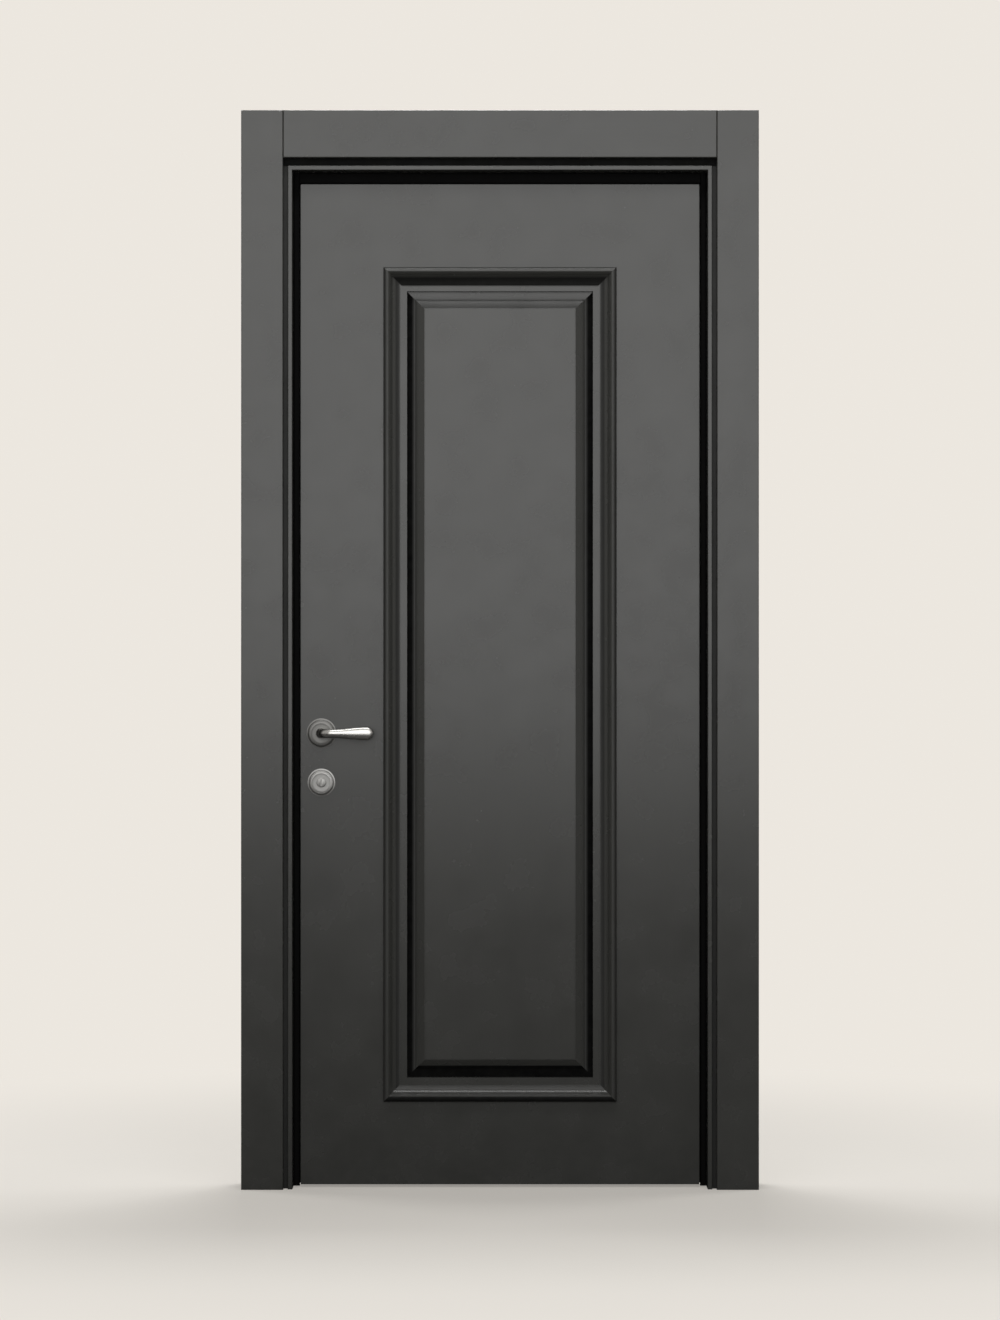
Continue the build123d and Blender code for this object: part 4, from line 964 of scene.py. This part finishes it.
front_lever = draw_neck()
front_lever.name = "front_lever_drawn"
draw_bend()
draw_tip(draw_grip())
bpy.ops.object.mode_set(mode="OBJECT")
settle(front_lever, nickel)
back_lever = bpy.data.objects.new("back_lever_drawn", front_lever.data.copy())
bpy.context.scene.collection.objects.link(back_lever)
back_lever.data.transform(Matrix.Scale(-1, 4, (0, 1, 0)))
settle(back_lever, nickel)
take_over(front_lever, "handle", "front_lever")
take_over(back_lever, "handle", "back_lever")
lever_front = min(vertex.co.y for vertex in front_lever.data.vertices)
print("lever stands out to", round(lever_front, 4), "and the solid one to", round(lever_low.y, 4))

# %% [markdown]
# ## The turn and its release
#
# Outside, the escutcheon holds a flush disc with a slot for a coin. The same bar ends in a knob
# inside, to be turned by thumb.

# %% Model the release
collar_radius = 0.009
coin_slot_size = (0.0018, 0.005, 0.013)
release_low, release_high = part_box("release_turn")
release = lathe_blank(centre_of("release_turn"), collar_radius, release_high.y - release_low.y)
release.name = "release_turned"
round_rims(release, lambda normal: normal.y < -0.9, 0.0006)
cut_away(release, block((turn_centre.x, release_low.y, turn_centre.z), coin_slot_size))
settle(release, turn_nickel)
take_over(release, "turn", "release_turn")

# %% [markdown]
# The thumb turn is a collar and a bar with round ends that is pinched a little in the middle. The
# bar is a block, cut into a fine net of faces. The middle of its lower half is drawn in, its four
# corners along the depth are rounded, and then the rim of its face.

# %% Model the thumb turn
thumb_low, thumb_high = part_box("thumb_turn")
knob_width, knob_depth, knob_height = 0.009, 0.016, 0.034
knob_overlap = 0.001
waist_depth = 0.010
waist_half = 0.009
waist_share = 0.8
touch = 0.0001
collar_top = thumb_high.y - knob_depth
collar = lathe_blank(
    (turn_centre.x, (collar_top + thumb_low.y) / 2, turn_centre.z),
    collar_radius,
    collar_top - thumb_low.y,
)
round_rims(collar, lambda normal: normal.y > 0.9, 0.0008)


def on_waist(middle, normal):
    """Whether a face is on the pinched part of the knob."""
    return middle.y < collar_top + waist_depth and abs(middle.z - turn_centre.z) < waist_half


def on_corner(edge):
    """Whether an edge runs along the depth at one of the knob's four corners."""
    first, second = (vert.co - turn_centre for vert in edge.verts)
    along_depth = abs(first.x - second.x) < touch and abs(first.z - second.z) < touch
    return along_depth and abs(first.z) > knob_height / 2 - touch and abs(first.x) > knob_width / 2 - touch


def on_face_rim(edge):
    """Whether an edge is on the rim of the knob's face."""
    at_face = all(abs(vert.co.y - thumb_high.y) < touch for vert in edge.verts)
    sides = [face.normal.y for face in edge.link_faces]
    return at_face and max(sides) > 0.9 and min(sides) < 0.5


knob = block(
    (turn_centre.x, thumb_high.y - (knob_depth + knob_overlap) / 2, turn_centre.z),
    (knob_width, knob_depth + knob_overlap, knob_height),
)
knob.name = "thumb_turn_modelled"
edit(knob)
bpy.ops.mesh.select_all(action="SELECT")
bpy.ops.mesh.subdivide(number_cuts=5)
select_faces(knob, on_waist)
bpy.ops.transform.resize(
    value=(waist_share, 1, 1), center_override=(turn_centre.x, collar_top, turn_centre.z)
)
select_edges(knob, on_corner)
bpy.ops.mesh.bevel(offset=0.0042, segments=8, affect="EDGES")
select_edges(knob, on_face_rim)
bpy.ops.mesh.bevel(offset=0.0014, segments=4, affect="EDGES")
bpy.ops.object.mode_set(mode="OBJECT")
settle(join_all([knob, collar]), nickel)
take_over(knob, "turn", "thumb_turn")

# %% [markdown]
# ## Hinge knuckles and finials
#
# The solids give the knuckles sixteen flats. A real knuckle is rolled round and its ends are faced, so
# each one gets a thin round sleeve with softly bevelled ends. The pins get turned finials: a collar
# and a small dome on top, and a dome below.

# %% Sleeve the knuckles
hinge_low, hinge_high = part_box("hinge_frame_plate_middle")
pin_centre = centre_of("hinge_pins")
hinge_length = hinge_high.z - hinge_low.z
knuckle_gap = 0.0004
knuckle_pitch = (hinge_length + knuckle_gap) / 3
sleeve_radius = 0.0071


def on_pin(height):
    """The point on the hinges' axis at a height."""
    return (pin_centre.x, pin_centre.y, height)


def upright_drum(height, radius, length, soft):
    """A cylinder on the hinges' axis, its middle at a height, with both end edges bevelled."""
    clear_selection()
    bpy.ops.mesh.primitive_cylinder_add(vertices=40, radius=radius, depth=length, location=on_pin(height))
    drum = fix_place()
    round_rims(drum, lambda normal: abs(normal.z) > 0.9, soft)
    return drum


for body, shares in (("frame", (-1, 1)), ("leaf", (0,))):
    heights = [level + share * knuckle_pitch for level in hinge_levels for share in shares]
    sleeves = join_all(
        [upright_drum(height, sleeve_radius, knuckle_pitch - knuckle_gap, 0.0006) for height in heights]
    )
    sleeves.name = f"hinge_sleeves_{body}"
    settle(sleeves, hinge_steel)
    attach(sleeves, body)
    print(sleeves.name, len(sleeves.data.polygons), "faces")

# %% [markdown]
# A finial is a collar that a dome stands on. Below the hinge the pin ends in a flatter dome. The pin
# itself, its three pieces and the domes of all three hinges are one piece.

# %% Turn the pins and their finials
pin_radius = 0.004
collar_height = 0.0018
finial_radius = 0.0066
dome_radius = 0.0052


def dome(height, share):
    """A dome on the hinges' axis, flattened to a share of its height."""
    clear_selection()
    bpy.ops.mesh.primitive_uv_sphere_add(
        segments=32, ring_count=16, radius=dome_radius, location=on_pin(height)
    )
    bpy.context.object.scale = (1, 1, share)
    return fix_place()


pin_parts = []
for level in hinge_levels:
    top = level + hinge_length / 2
    pin_parts.append(upright_drum(level, pin_radius, hinge_length, 0.0002))
    pin_parts.append(upright_drum(top + collar_height / 2, finial_radius, collar_height, 0.0004))
    pin_parts.append(dome(top + collar_height, 0.85))
    pin_parts.append(dome(level - hinge_length / 2, 0.55))
pins = join_all(pin_parts)
pins.name = "hinge_pins_turned"
settle(pins, hinge_steel)
take_over(pins, "frame", "hinge_pins")

# %% [markdown]
# ## The ground and the light
#
# The door is shown on a plain pale ground without a horizon. It is a wide flat plate with rounded
# corners. Near the door it takes light and shadow, and it also glows a little for the camera, which
# lifts it to the pale tone without more light on the door. A few steps away it turns, for the camera
# alone, into the tone of the background, so that no edge of it shows from any side.


# %% Build the floor
PAPER = (0.42, 0.405, 0.38)
BACKGROUND = (1.0, 0.952, 0.882, 1)
BACKGROUND_GLOW = 0.84
FLOOR_GLOW = 0.29
FLOOR_IN_MIRRORS = (0.09, 0.088, 0.085)
FADE_START, FADE_END = 0.9, 2.4


def pale_ground(name):
    """Pale paper that takes shadow near the door, shows a painted dark tone in reflections, and fades into
    the background for the camera.
    """
    material, tree, shader = start_material(name)
    plain = door_coordinates(tree)
    path = tree.nodes.new("ShaderNodeLightPath")
    fibre = noise(tree, plain, 3.0, detail=2.0)
    paper = tint(tree, fibre, tuple(0.97 * part for part in PAPER), PAPER)
    # In reflections the paper shows a painted dark tone, which darkens what the door's lower half mirrors.
    mirrored = path.outputs["Is Glossy Ray"]
    tree.links.new(laid_over(tree, mirrored, paper, FLOOR_IN_MIRRORS), shader.inputs["Base Color"])
    shader.inputs["Roughness"].default_value = 0.95
    shader.inputs["Specular IOR Level"].default_value = 0.0

    seen = path.outputs["Is Camera Ray"]
    near_glow = add_node(tree, "ShaderNodeEmission", Color=BACKGROUND)
    tree.links.new(spread(tree, seen, 0.0, 1.0, 0.0, FLOOR_GLOW), near_glow.inputs["Strength"])
    near = tree.nodes.new("ShaderNodeAddShader")
    tree.links.new(shader.outputs["BSDF"], near.inputs[0])
    tree.links.new(near_glow.outputs["Emission"], near.inputs[1])

    away = tree.nodes.new("ShaderNodeVectorMath")
    away.operation = "LENGTH"
    tree.links.new(plain, away.inputs[0])
    faded = spread(tree, away.outputs["Value"], FADE_START, FADE_END, 0.0, 1.0)
    faded.node.interpolation_type = "SMOOTHSTEP"
    far = add_node(tree, "ShaderNodeEmission", Color=BACKGROUND, Strength=BACKGROUND_GLOW)
    joined = tree.nodes.new("ShaderNodeMixShader")
    tree.links.new(product(tree, faded, seen), joined.inputs["Fac"])
    tree.links.new(near.outputs["Shader"], joined.inputs[1])
    tree.links.new(far.outputs["Emission"], joined.inputs[2])
    tree.links.new(joined.outputs["Shader"], tree.nodes["Material Output"].inputs["Surface"])
    return material


clear_selection()
bpy.ops.mesh.primitive_plane_add(size=30, location=(0, 0, 0))
ground = fix_place()
ground.name = "ground_floor"
edit(ground)
bpy.ops.mesh.select_all(action="SELECT")
bpy.ops.mesh.bevel(offset=6, segments=16, affect="VERTICES")
bpy.ops.object.mode_set(mode="OBJECT")
ground.data.materials.append(pale_ground("ground_paper"))
print("floor corners:", len(ground.data.vertices))

# %% [markdown]
# Satin lacquer shows what stands in front of it. In the picture the upper half mirrors a bright wall
# and the lower half a dark floor, and the change is soft. So a large soft panel stands in front, its
# lower edge at the height that puts the change where the picture has it. A soft lamp high in front
# gives the head its shadow, and one over the back throws the door's shadow forward on the floor. Two
# lamps stand beside the door, a little behind it, so that they light its edges and its far side and
# leave the near face alone.

# %% Light the door
world = bpy.data.worlds.new("studio_fill")
bpy.context.scene.world = world
world.use_nodes = True
tree = world.node_tree
background = tree.nodes["Background"]
rays = tree.nodes.new("ShaderNodeLightPath").outputs
seen = rays["Is Camera Ray"]
mirrored = combine(tree, "MAXIMUM", rays["Is Glossy Ray"], rays["Is Transmission Ray"])
FILL, FILL_IN_MIRRORS = 0.2, 0.5
FILL_COLOUR = (1.0, 0.975, 0.94)
in_mirrors = spread(tree, mirrored, 0.0, 1.0, FILL, FILL_IN_MIRRORS)
in_camera = spread(tree, seen, 0.0, 1.0, 0.0, BACKGROUND_GLOW)
tree.links.new(combine(tree, "MAXIMUM", in_mirrors, in_camera), background.inputs["Strength"])
tree.links.new(tint(tree, seen, FILL_COLOUR, BACKGROUND[:3]), background.inputs["Color"])


def soft_lamp(name, place, target, size, power):
    """A rectangular soft light at a place, turned to a target."""
    clear_selection()
    bpy.ops.object.light_add(type="AREA", location=place)
    lamp = bpy.context.object
    lamp.name = name
    lamp.data.shape = "RECTANGLE"
    lamp.data.size, lamp.data.size_y = size
    lamp.data.energy = power
    lamp.rotation_euler = (Vector(target) - Vector(place)).to_track_quat("-Z", "Y").to_euler()
    lamp.visible_camera = False
    print(name, "at", place, "power", power)


soft_lamp("front_panel", (0.0, -4.2, 2.08), (0.0, 0.0, 2.08), (3.6, 2.76), 64.0)
soft_lamp("high_front", (0.0, -1.4, 3.8), (0.0, 0.0, 1.9), (2.0, 0.6), 26.0)
soft_lamp("high_back", (0.0, 1.1, 5.0), (0.0, -0.4, 0.0), (1.2, 0.9), 130.0)
for side, x in (("left", -3.8), ("right", 3.8)):
    soft_lamp(f"{side}_side", (x, 1.8, 2.2), (0.0, 0.0, 1.1), (1.8, 2.4), 75.0)

# %% [markdown]
# ## The camera
#
# The photograph looks straight at the door from far away, level with its middle. From eight metres
# a lens that spans 2.64 metres at the casings gives two millimetres to a pixel, as in the picture.

# %% Set the camera
camera_distance = 8.0
camera_height = 1.06
picture_height = 2.64
sensor_width = 36
casing_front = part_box("front_casing_left")[0].y
clear_selection()
level_view = (math.radians(90), 0, 0)
bpy.ops.object.camera_add(location=(0, -camera_distance, camera_height), rotation=level_view)
camera = bpy.context.object
camera.name = "picture_camera"
camera.data.sensor_fit = "AUTO"
camera.data.sensor_width = sensor_width
camera.data.lens = sensor_width * (camera_distance + casing_front) / picture_height
bpy.context.scene.camera = camera
bpy.context.scene.view_settings.view_transform = "Standard"
print("lens", round(camera.data.lens, 1), "mm")
